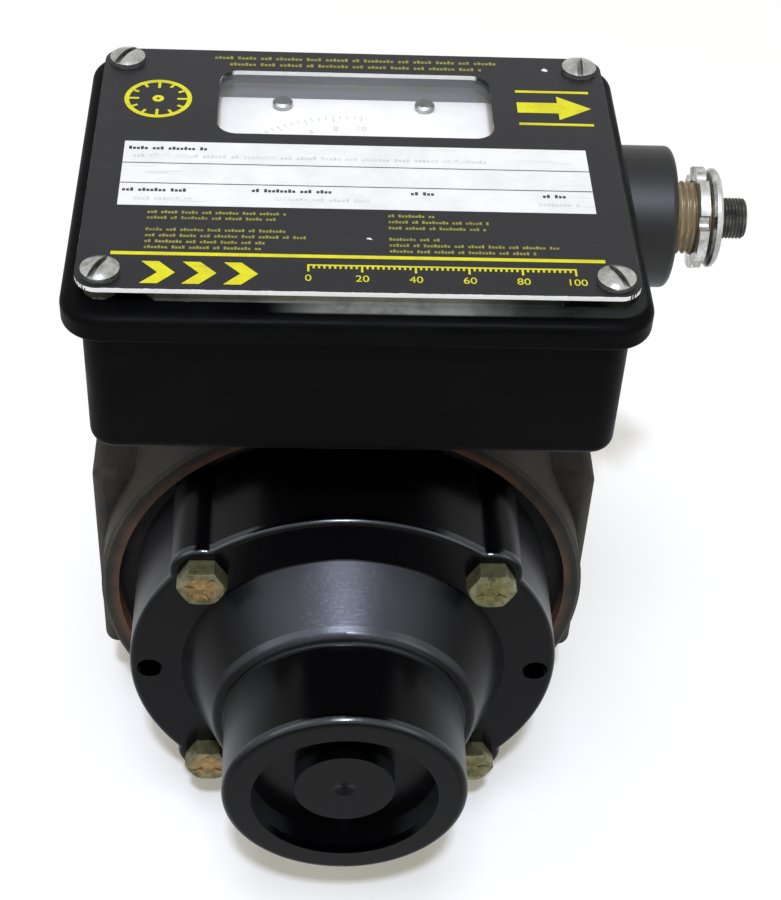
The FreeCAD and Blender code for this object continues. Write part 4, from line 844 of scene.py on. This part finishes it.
def moulded(name, dark, pale, grain=600.0, roughness_level=0.42, relief=0.03):
    """Moulded plastic, paper or rubber: fine grain and slow change of tone."""
    material, tree, surface = start_material(name, Specular_IOR_Level=0.35)
    cloud = use(tree, "tarnish", Grain=grain * 0.2)
    skin = use(tree, "enamel_skin", Grain=grain)
    # darker in hollows: dirt and painted shade
    dirt_and_shade = use(tree, "crevice_dirt_and_shade", Reach=1.5 * MM, Grain=500.0)["Mask"]
    colour = between(tree, cloud["Tone"], dark, pale)
    colour = between(tree, times(tree, dirt_and_shade, 0.25), colour, GRIME)
    roughness = uneven(tree, roughness_level, 0.18, skin["Gloss"])
    normal = bump(tree, skin["Height"], relief)
    set_surface(tree, surface, Base_Color=colour, Roughness=roughness, Normal=normal)
    return material


def window_clear():
    """Clear pane with a trace of wipe marks; lamps shine through it once, straight."""
    material, tree, surface = start_material(
        "window_clear", Transmission_Weight=1.0, IOR=1.45, Base_Color=(1, 1, 1, 1))
    hair = use(tree, "fine_scuffs", Grain=36.0, Cover=0.25)["Mask"]
    set_surface(tree, surface, Roughness=uneven(tree, 0.015, 0.12, hair))
    path = add(tree, "LightPath").outputs
    from_lamps = most(tree, path["Is Shadow Ray"], path["Is Diffuse Ray"])
    show_instead(tree, surface, from_lamps, add(tree, "BsdfTransparent"))
    return material


def seen_directly(tree):
    """One for what the camera sees, straight, in a mirror or through glass."""
    path = add(tree, "LightPath").outputs
    return most(tree, path["Is Camera Ray"], path["Is Glossy Ray"], path["Is Transmission Ray"])


def pale_floor():
    """White paper floor; near the object it keeps the shadow, and far off it is seen as plain white."""
    material, tree, surface = start_material("pale_floor", Specular_IOR_Level=0.0, Roughness=0.9)
    fibre = noise(tree, 260.0, 4.0)
    set_surface(tree, surface, Base_Color=between(tree, fibre, FLOOR_CREAM, FLOOR_PALE))
    away = measure(tree, "LENGTH", own_place(tree))
    glow = between(tree, over(tree, away, FLOOR_FADE), FLOOR_GLOW, FLOOR_PALE)
    share = times(tree, seen_directly(tree), over(tree, away, FLOOR_FADE, FLOOR_WHITE_SHARE, 1.0))
    show_instead(tree, surface, share, add(tree, "Emission", {"Color": glow, "Strength": 1.0}))
    return material


# Meshes

def new_piece(name, mesh, materials, body="housing"):
    """Object for a mesh built in the part's own frame, riding on a body."""
    piece = bpy.data.objects.new(name, mesh)
    bpy.context.scene.collection.objects.link(piece)
    for material in materials:
        mesh.materials.append(material)
    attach(piece, body)
    return piece


def to_mesh(bm, name, smooth_angle=None):
    bmesh.ops.recalc_face_normals(bm, faces=bm.faces)
    mesh = bpy.data.meshes.new(name)
    bm.to_mesh(mesh)
    bm.free()
    if smooth_angle is not None:
        mesh.shade_smooth()
        mesh.set_sharp_from_angle(angle=math.radians(smooth_angle))
    return mesh


def add_prism(bm, points, z0, z1):
    """Upright prism on a closed outline of x, y points in millimetres."""
    low = [bm.verts.new(Vector((x, y, z0)) * MM) for x, y in points]
    high = [bm.verts.new(Vector((x, y, z1)) * MM) for x, y in points]
    bm.faces.new(low[::-1])
    bm.faces.new(high)
    for i, vert in enumerate(low):
        after = (i + 1) % len(low)
        bm.faces.new((vert, low[after], high[after], high[i]))


def add_bar(bm, x0, x1, y0, y1, z0, z1):
    add_prism(bm, [(x0, y0), (x1, y0), (x1, y1), (x0, y1)], z0, z1)


def add_line(bm, x0, x1, y, width, z0, z1):
    add_bar(bm, x0, x1, y - width / 2, y + width / 2, z0, z1)


def add_spoke(bm, centre, angle, r0, r1, width, z0, z1):
    """Bar that points away from a centre; the angle is clockwise from +Y."""
    out = Vector((math.sin(angle), math.cos(angle)))
    side = Vector((out.y, -out.x)) * (width / 2)
    near = Vector(centre) + out * r0
    far = Vector(centre) + out * r1
    add_prism(bm, [(p.x, p.y) for p in (near - side, near + side, far + side, far - side)], z0, z1)


def join_rows(bm, rows):
    """Faces between each closed row of points and the next one."""
    for first, second in zip(rows, rows[1:]):
        for i, vert in enumerate(first):
            after = (i + 1) % len(first)
            bm.faces.new((vert, first[after], second[after], second[i]))


def add_ring(bm, centre, r_out, r_in, z0, z1, sides=64):
    """Flat upright ring."""
    rows = []
    for radius, z in ((r_in, z0), (r_out, z0), (r_out, z1), (r_in, z1)):
        row = []
        for i in range(sides):
            angle = math.tau * i / sides
            x = centre[0] + radius * math.cos(angle)
            y = centre[1] + radius * math.sin(angle)
            row.append(bm.verts.new(Vector((x, y, z)) * MM))
        rows.append(row)
    join_rows(bm, rows + rows[:1])


def add_text(bm, text, size, x, y, z0, z1):
    """Plain figures centred on x, y."""
    curve = bpy.data.curves.new("figures", "FONT")
    curve.body = text
    curve.size = size * MM
    curve.extrude = (z1 - z0) / 2 * MM
    curve.align_x = "CENTER"
    curve.align_y = "CENTER"
    holder = bpy.data.objects.new("figures", curve)
    bpy.context.scene.collection.objects.link(holder)
    bpy.context.view_layer.update()
    mesh = bpy.data.meshes.new_from_object(holder.evaluated_get(bpy.context.evaluated_depsgraph_get()))
    mesh.transform(Matrix.Translation(Vector((x, y, (z0 + z1) / 2)) * MM))
    bm.from_mesh(mesh)
    bpy.data.objects.remove(holder)
    bpy.data.curves.remove(curve)
    bpy.data.meshes.remove(mesh)


def tooth(share):
    """Depth of a thread's flank, 0 at the crest and 1 at the root, over one pitch."""
    slope = abs(2 * (share % 1.0) - 1)
    return min(max((slope - THREAD_CREST) / THREAD_FLANK, 0.0), 1.0)


def ring_vert(bm, x, radius, angle, centre):
    y = centre[0] + radius * math.cos(angle)
    z = centre[1] + radius * math.sin(angle)
    return bm.verts.new(Vector((x, y, z)) * MM)


def plain_row(bm, x, radius, centre, around):
    return [ring_vert(bm, x, radius, math.tau * j / around, centre) for j in range(around)]


def add_thread(bm, span, crest_r, depth, pitch, plain_r, centre, ease=0.0, around=72, per_pitch=8):
    """Closed sleeve along X: a helical thread on one wall and a plain cylinder on the other.

    A plain radius larger than the crest makes an inside thread. The thread shrinks by the ease at both ends.
    """
    inside = plain_r > crest_r
    x0, x1 = span
    steps = max(2, round((x1 - x0) / pitch * per_pitch))
    rows = []
    for i in range(steps + 1):
        x = x0 + (x1 - x0) * i / steps
        to_end = min(x - x0, x1 - x)
        lead = max(0.0, ease - to_end)
        row = []
        for j in range(around):
            cut = depth * tooth((x - x0) / pitch - j / around)
            cut = max(cut, min(lead, depth))
            radius = crest_r + cut if inside else crest_r - cut
            row.append(ring_vert(bm, x, radius, math.tau * j / around, centre))
        rows.append(row)
    for x in (x1, x0):
        rows.append(plain_row(bm, x, plain_r, centre, around))
    join_rows(bm, rows + rows[:1])


def add_turned(bm, profile, centre, around=72):
    """Ring along X turned from a closed outline of x, radius points."""
    rows = [plain_row(bm, x, radius, centre, around) for x, radius in profile]
    join_rows(bm, rows + rows[:1])


# Lid print

def print_heights(node):
    """Bottom and top of a print on a flat node, which sinks into it a little."""
    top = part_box(node)[1].z / MM
    return top - PRINT_SINK, top + PRINT_STAND


def lid_piece(name, bm, material):
    """Print that lies on the lid plate."""
    return new_piece(name, to_mesh(bm, name), [material])


def field_panel(material):
    """Blank silver data field."""
    z0, z1 = print_heights("nameplate")
    bm = bmesh.new()
    add_bar(bm, -FIELD_X, FIELD_X, FIELD_Y[0], FIELD_Y[1], z0, z1)
    return lid_piece("field_panel", bm, material)


def add_words(bm, row, height, z0, z1):
    """Row of blank words, each a run of small upright strokes."""
    x, end, y = row
    step = (STROKE_W + STROKE_GAP) * height
    word = round(abs(10 * y))
    base = y - height / 2
    while x < end - step:
        strokes = STROKES_PER_WORD[word % len(STROKES_PER_WORD)]
        for i in range(min(strokes, int((end - x) / step))):
            tall = height if (word + i) % 3 == 0 else LOW_STROKE * height
            add_bar(bm, x, x + STROKE_W * height, base, base + tall, z0, z1)
            x += step
        x += WORD_GAP * height
        word += 1


def field_lines(material):
    """Row lines and blank captions over the silver field."""
    z0, z1 = print_heights("nameplate")
    z1 += PRINT_STAND / 2
    bm = bmesh.new()
    for y in FIELD_ROWS:
        add_line(bm, -FIELD_X, FIELD_X, y, FIELD_LINE_W, z0, z1)
    for row in FIELD_LABELS:
        add_words(bm, row, LABEL_H, z0, z1)
    return lid_piece("field_lines", bm, material)


def field_entries(material):
    """Faint worn entries in the silver field, blank as well."""
    z0, z1 = print_heights("nameplate")
    z1 += PRINT_STAND / 2
    bm = bmesh.new()
    for row in FIELD_ENTRIES:
        add_words(bm, row, ENTRY_H, z0, z1)
    return lid_piece("field_entries", bm, material)


def note_lines(material):
    """Blank small print above the window and in two blocks below the field."""
    z0, z1 = print_heights("nameplate")
    bm = bmesh.new()
    for row in TOP_NOTES:
        add_words(bm, row, TOP_NOTE_H, z0, z1)
    for row in LEFT_NOTES + RIGHT_NOTES:
        add_words(bm, row, NOTE_H, z0, z1)
    return lid_piece("note_lines", bm, material)


def add_chevron(bm, x, z0, z1):
    """Two slanted arms that meet in a tip to the right."""
    low = CHEVRON_Y
    middle = CHEVRON_Y + CHEVRON_H / 2
    high = CHEVRON_Y + CHEVRON_H
    arm_x = x + CHEVRON_ARM
    tip_x = x + CHEVRON_TIP
    end_x = arm_x + CHEVRON_TIP
    add_prism(bm, [(x, low), (arm_x, low), (end_x, middle), (tip_x, middle)], z0, z1)
    add_prism(bm, [(tip_x, middle), (end_x, middle), (arm_x, high), (x, high)], z0, z1)


def add_gauge(bm, z0, z1):
    """Plain graduated line with numbers."""
    x0, x1 = GAUGE_X
    half = FINE_RULE_W / 2
    spaces = len(GAUGE_NUMBERS) - 1
    add_line(bm, x0 - half, x1 + half, GAUGE_Y, FINE_RULE_W, z0, z1)
    for i in range(GAUGE_STEPS + 1):
        x = x0 + (x1 - x0) * i / GAUGE_STEPS
        length = GAUGE_LONG_TICK if i % (GAUGE_STEPS // spaces) == 0 else GAUGE_TICK
        add_bar(bm, x - half, x + half, GAUGE_Y - length, GAUGE_Y - half - PRINT_GAP, z0, z1)
    for i, figures in enumerate(GAUGE_NUMBERS):
        x = x0 + (x1 - x0) * i / spaces
        add_text(bm, figures, GAUGE_TEXT, x, GAUGE_Y - GAUGE_TEXT_DROP, z0, z1)


def add_dial(bm, z0, z1):
    """Ring with tick marks inside, longer at each quarter, and a small hub."""
    inner_r = DIAL_R - DIAL_W
    add_ring(bm, DIAL_PLACE, DIAL_R, inner_r, z0, z1)
    add_ring(bm, DIAL_PLACE, DIAL_HUB_R[0], DIAL_HUB_R[1], z0, z1, DIAL_HUB_SIDES)
    for i in range(DIAL_TICKS):
        angle = math.tau * i / DIAL_TICKS
        length = DIAL_LONG_TICK if i % (DIAL_TICKS // 4) == 0 else DIAL_TICK
        add_spoke(bm, DIAL_PLACE, angle, inner_r - length, inner_r - PRINT_GAP, DIAL_TICK_W, z0, z1)


def add_arrow(bm, z0, z1):
    """Plain arrow along the way the fluid goes, in a frame line above and below."""
    x, y = ARROW_PLACE
    half = ARROW_H / 2
    neck_x = x + ARROW_L * ARROW_STEM_L
    stem = half * ARROW_STEM_HALF
    head = half * ARROW_HEAD_HALF
    tip_x = x + ARROW_L
    add_bar(bm, x, neck_x, y - stem, y + stem, z0, z1)
    add_prism(bm, [(neck_x, y - head), (tip_x, y), (neck_x, y + head)], z0, z1)
    for side in SIDES:
        add_line(bm, x, tip_x, y + side * (half + ARROW_LINE_GAP), ARROW_LINE_W, z0, z1)


def yellow_print(material):
    """Rule and plain marks in yellow."""
    z0, z1 = print_heights("nameplate")
    bm = bmesh.new()
    add_line(bm, -RULE_X, RULE_X, RULE_Y, RULE_W, z0, z1)
    for x in CHEVRON_X:
        add_chevron(bm, x, z0, z1)
    add_gauge(bm, z0, z1)
    add_dial(bm, z0, z1)
    add_arrow(bm, z0, z1)
    return lid_piece("yellow_print", bm, material)


def scale_angle(share):
    """Angle of a place on the scale, clockwise from straight back."""
    return math.radians(SCALE_SWEEP[0] + share * (SCALE_SWEEP[1] - SCALE_SWEEP[0]))


def scale_print(material):
    """Faint graduations and numbers under the pointer."""
    z0, z1 = print_heights("scale_plate")
    centre = (0.0, SHAFT_Y)
    spaces = len(SCALE_NUMBERS) - 1
    bm = bmesh.new()
    for i in range(SCALE_TICKS):
        angle = scale_angle(i / (SCALE_TICKS - 1))
        short = 0.0 if i % ((SCALE_TICKS - 1) // spaces) == 0 else SCALE_SHORT
        add_spoke(bm, centre, angle, SCALE_R[0] + short, SCALE_R[1], SCALE_TICK_W, z0, z1)
    for i, figures in enumerate(SCALE_NUMBERS):
        angle = scale_angle(i / spaces)
        x = SCALE_NUMBER_R * math.sin(angle)
        y = SHAFT_Y + SCALE_NUMBER_R * math.cos(angle)
        add_text(bm, figures, SCALE_TEXT, x, y, z0, z1)
    return new_piece("scale_print", to_mesh(bm, "scale_print"), [material])


# Return coil

def coil_height(turn, length):
    """Distance of the wire's middle from the first one, closed turns at both ends."""
    open_pitch = (length - 2 * COIL_CLOSED_PITCH) / (COIL_TURNS - 2)
    if turn < 1:
        return turn * COIL_CLOSED_PITCH
    if turn > COIL_TURNS - 1:
        return length - (COIL_TURNS - turn) * COIL_CLOSED_PITCH
    return COIL_CLOSED_PITCH + (turn - 1) * open_pitch


def return_coil(material):
    """Coil that pushes the piston back, in place of the plain one."""
    low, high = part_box("piston_spring")
    middle_x = (low.x + high.x) / 2 / MM
    axis_z = (low.z + high.z) / 2 / MM
    coil_r = (high.x - low.x) / 2 / MM - COIL_WIRE_R
    first_y = low.y / MM + COIL_WIRE_R
    length = (high.y - low.y) / MM - 2 * COIL_WIRE_R
    bm = bmesh.new()
    rings = []
    for i in range(COIL_TURNS * COIL_STEPS + 1):
        turn = i / COIL_STEPS
        angle = math.tau * turn
        outwards = Vector((math.cos(angle), 0.0, math.sin(angle)))
        middle = Vector((middle_x, first_y + coil_height(turn, length), axis_z)) + coil_r * outwards
        ring = []
        for k in range(COIL_SIDES):
            round_wire = math.tau * k / COIL_SIDES
            offset = outwards * math.cos(round_wire) + Vector((0.0, math.sin(round_wire), 0.0))
            ring.append(bm.verts.new((middle + COIL_WIRE_R * offset) * MM))
        rings.append(ring)
    join_rows(bm, rings)
    bm.faces.new(rings[0])
    bm.faces.new(rings[-1])
    piece = new_piece("return_coil", to_mesh(bm, "return_coil", SMOOTH_ANGLE), [material])
    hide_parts("piston_spring")
    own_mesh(piece)
    return piece


# Threads and bolt heads

def port_threads(material):
    """Pipe thread inside each port."""
    low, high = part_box("flow_body")
    mount = {m["name"]: m for m in frame["record"]["mounts"]}["outlet_port"]
    centre = (mount["pos_m"][1] / MM, mount["pos_m"][2] / MM)
    wall_r = mount["dims"]["r_mm"]
    depth = wall_r - PORT_CREST_R - PORT_ROOT_GAP
    bm = bmesh.new()
    for side, face in ((-1, low.x / MM), (1, high.x / MM)):
        mouth = side * (abs(face) - PORT_LEAD)
        deep = mouth - side * PORT_LENGTH
        span = (min(mouth, deep), max(mouth, deep))
        add_thread(bm, span, PORT_CREST_R, depth, PORT_PITCH, wall_r, centre, PORT_EASE, PORT_SIDES)
    return new_piece("port_threads", to_mesh(bm, "port_threads", SMOOTH_ANGLE), [material])


def receptacle_threads(nipple_material, connector_material):
    """Nipple and connector end with their real threads, in place of the plain shell."""
    low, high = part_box("receptacle_shell")
    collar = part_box("receptacle_collar")
    centre = ((low.y + high.y) / 2 / MM, (low.z + high.z) / 2 / MM)
    start_x = low.x / MM
    end_x = high.x / MM
    collar_x = collar[0].x / MM
    root_x = collar[1].x / MM
    nipple_r = (high.y - low.y) / 2 / MM
    bm = bmesh.new()
    span = (start_x, collar_x)
    add_thread(bm, span, nipple_r, NIPPLE_DEPTH, NIPPLE_PITCH, NIPPLE_BORE_R, centre, NIPPLE_EASE)
    nipple_faces = set(bm.faces)
    thread_x = root_x + RELIEF_L
    add_turned(bm, [
        (collar_x, CONNECTOR_BORE_R), (collar_x, COLLAR_SEAT_R), (root_x, COLLAR_SEAT_R),
        (root_x, RELIEF_R), (thread_x, RELIEF_R), (thread_x, CONNECTOR_BORE_R)], centre)
    span = (thread_x, end_x)
    add_thread(
        bm, span, CONNECTOR_R, CONNECTOR_DEPTH, CONNECTOR_PITCH, CONNECTOR_BORE_R, centre, CONNECTOR_EASE)
    for face in bm.faces:
        face.material_index = 0 if face in nipple_faces else 1
    mesh = to_mesh(bm, "receptacle_threads", SMOOTH_ANGLE)
    piece = new_piece("receptacle_threads", mesh, [nipple_material, connector_material])
    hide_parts("receptacle_shell")
    return piece


def bolt_grade_marks(material):
    """Three raised lines on each bolt head."""
    low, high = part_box("bonnet_bolts")
    middle_z = (low.z + high.z) / 2 / MM
    offset = bolt_offset() / MM
    face_y = low.y / MM
    stand_up = Matrix.Rotation(math.radians(90), 4, "X")
    bm = bmesh.new()
    for i, (sx, sz) in enumerate((a, b) for a in SIDES for b in SIDES):
        before = len(bm.verts)
        for k in range(GRADE_MARKS):
            add_spoke(
                bm, (0.0, 0.0), GRADE_TURN * i + math.tau * k / GRADE_MARKS, GRADE_MARK["from"],
                GRADE_MARK["to"], GRADE_MARK["width"], -GRADE_MARK["sink"], GRADE_MARK["stand"])
        bm.verts.ensure_lookup_table()
        fresh = bm.verts[before:]
        place = Matrix.Translation(Vector((sx * offset, face_y, middle_z + sz * offset)) * MM)
        bmesh.ops.transform(bm, matrix=place @ stand_up, verts=fresh)
    return new_piece("bolt_grade_marks", to_mesh(bm, "bolt_grade_marks"), [material])


# Stage

def lay_floor():
    bm = bmesh.new()
    bmesh.ops.create_grid(bm, x_segments=FLOOR_CELLS, y_segments=FLOOR_CELLS, size=FLOOR_HALF)
    mesh = bpy.data.meshes.new("floor")
    bm.to_mesh(mesh)
    bm.free()
    mesh.materials.append(pale_floor())
    floor = bpy.data.objects.new("floor", mesh)
    bpy.context.scene.collection.objects.link(floor)


def hang_light(name, box, colour=(1.0, 1.0, 1.0)):
    """Soft box aimed at the object."""
    lamp = bpy.data.lights.new(name, "AREA")
    lamp.shape = "RECTANGLE"
    lamp.size, lamp.size_y = box["size"]
    lamp.energy = box["power"]
    lamp.color = colour
    holder = bpy.data.objects.new(name, lamp)
    place = Vector(box["place"])
    holder.location = place
    holder.rotation_euler = (LIGHT_AIM - place).to_track_quat("-Z", "Y").to_euler()
    bpy.context.scene.collection.objects.link(holder)


def fill_world():
    """Even warm fill, plain white where it is seen directly."""
    world = bpy.data.worlds.new("studio")
    world.use_nodes = True
    tree = world.node_tree
    tree.nodes.clear()
    fill = add(tree, "Background", {"Color": FILL_WARM, "Strength": WORLD_FILL})
    white = add(tree, "Background", {"Color": (1.0, 1.0, 1.0, 1.0), "Strength": 1.0})
    mixed = add(tree, "MixShader", {0: seen_directly(tree), 1: fill.outputs[0], 2: white.outputs[0]})
    output = add(tree, "OutputWorld")
    tree.links.new(mixed.outputs[0], output.inputs["Surface"])
    bpy.context.scene.world = world


def set_camera():
    """Camera at the photograph's viewing angle."""
    forward = Vector((
        math.sin(CAMERA_PAN) * math.cos(CAMERA_TILT),
        math.cos(CAMERA_PAN) * math.cos(CAMERA_TILT),
        math.sin(CAMERA_TILT)))
    level = Vector((math.cos(CAMERA_PAN), -math.sin(CAMERA_PAN), 0.0))
    upward = level.cross(forward)
    right = level * math.cos(CAMERA_ROLL) + upward * math.sin(CAMERA_ROLL)
    top = upward * math.cos(CAMERA_ROLL) - level * math.sin(CAMERA_ROLL)
    data = bpy.data.cameras.new("camera")
    data.sensor_fit = "HORIZONTAL"
    data.sensor_width = SENSOR_W
    data.lens = FOCAL_PX / PICTURE_W * SENSOR_W
    data.clip_start, data.clip_end = CAMERA_CLIP
    camera = bpy.data.objects.new("camera", data)
    turn = Matrix((right, top, -forward)).transposed().to_4x4()
    camera.matrix_world = Matrix.Translation(CAMERA_PLACE) @ turn
    bpy.context.scene.collection.objects.link(camera)
    bpy.context.scene.camera = camera


def dress(nodes, material):
    """Give CAD nodes a finish."""
    for name in nodes:
        node = frame["nodes"][name]
        if not node.material_slots:
            node.data.materials.append(material)
        for holder in node.material_slots:
            holder.material = material


def dress_nodes():
    """Every CAD node's finish, and the pieces that stand for two of them or lie on one."""
    steel = plated("machined_steel", STEEL, STEEL_DULL, grain=260.0, low_rough=0.26, grime_and_shade=0.6)
    dress(["control_box"], box_enamel())
    dress(["bonnet"], bonnet_enamel())
    dress(["flow_body"], body_iron())
    dress(["nameplate"], plate_slate())
    dress(["window_pane"], window_clear())
    dress(["lid_screws"], plated(
        "lid_screw_steel", SCREW_STEEL, SCREW_STEEL_DULL, grain=320.0, low_rough=0.16, grime_and_shade=1.0, reach=1.8))
    dress(["lock_nut", "receptacle_collar"], plated(
        "ring_zinc", RING_ZINC, RING_ZINC_DULL, grain=150.0, low_rough=0.2, grime_and_shade=1.0, reach=1.6))
    dress(["scale_screws", "box_screws", "switch_screws", "terminal_screws"], steel)
    dress(["lever_shaft", "crank_arm", "crank_pin", "scale_posts", "switch_bracket", "switch_lever"], steel)
    spring = plated("spring_steel", STEEL_DULL, CONNECTOR_GREY, grain=300.0, low_rough=0.3, grime_and_shade=0.6)
    return_coil(spring)
    dress(["piston_spring"], spring)
    dress(["pointer"], plated(
        "pointer_steel", POINTER_STEEL, POINTER_STEEL_DULL, grain=300.0, low_rough=0.4, grime_and_shade=0.3))
    brass = plated("turned_brass", BRASS, BRASS_DULL, low_rough=0.24, rough_spread=0.22, grime_and_shade=0.6)
    dress(["seat_ring", "stem_bushing", "piston", "shaft_bushing", "gland_nut", "contact_pins"], brass)
    dress(["scale_plate"], moulded("scale_enamel", SCALE_WHITE, SCALE_SMUDGE, grain=400.0, relief=0.01))
    rubber = moulded("gasket_rubber", RUBBER, RUBBER_PALE, grain=900.0, roughness_level=0.6, relief=0.05)
    dress(["bonnet_gasket", "shaft_seal", "box_gasket", "lid_gasket"], rubber)
    phenolic = moulded("dark_phenolic", PHENOLIC, PHENOLIC_PALE, grain=700.0, roughness_level=0.38)
    dress(["limit_switch", "switch_plunger", "switch_cam", "terminal_block", "receptacle_insert"], phenolic)
    bolt = zinc_bolt()
    dress(["bonnet_bolts"], bolt)
    bolt_grade_marks(bolt)
    connector = plated(
        "connector_grey", CONNECTOR_GREY, CONNECTOR_DARK, low_rough=0.34, grime_and_shade=0.8, reach=0.8)
    receptacle_threads(nipple_rust(), connector)
    dress(["receptacle_shell"], connector)


def print_lid():
    """Print on the lid plate and on the scale behind its window."""
    field_panel(printed("field_silver", FIELD_SILVER, FIELD_SILVER_DULL, grain=90.0))
    field_lines(printed("line_ink", PRINT_INK, GRIME, grain=200.0))
    field_entries(printed("entry_ink", ENTRY_GREY, FIELD_SILVER, grain=140.0))
    yellow_print(printed("yellow_ink", PRINT_YELLOW, PRINT_YELLOW_WORN, grain=160.0))
    note_lines(printed("note_ink", NOTE_YELLOW, NOTE_YELLOW_WORN, grain=260.0))
    scale_print(printed("scale_ink", SCALE_INK, SCALE_SMUDGE, grain=200.0))


def main():
    bpy.context.scene.view_settings.view_transform = "Standard"
    make_shared_effects()
    dress_nodes()
    print_lid()
    port_threads(plated(
        "port_thread_iron", THREAD_IRON, THREAD_RUST,
        grain=200.0, low_rough=0.4, rough_spread=0.25, grime_and_shade=0.8, reach=2.0))
    lay_floor()
    fill_world()
    hang_light("top_box", TOP_BOX, LAMP_COOL)
    hang_light("front_box", FRONT_BOX, LAMP_COOL)
    hang_light("left_box", LEFT_BOX)
    hang_light("right_box", RIGHT_BOX)
    set_camera()


main()
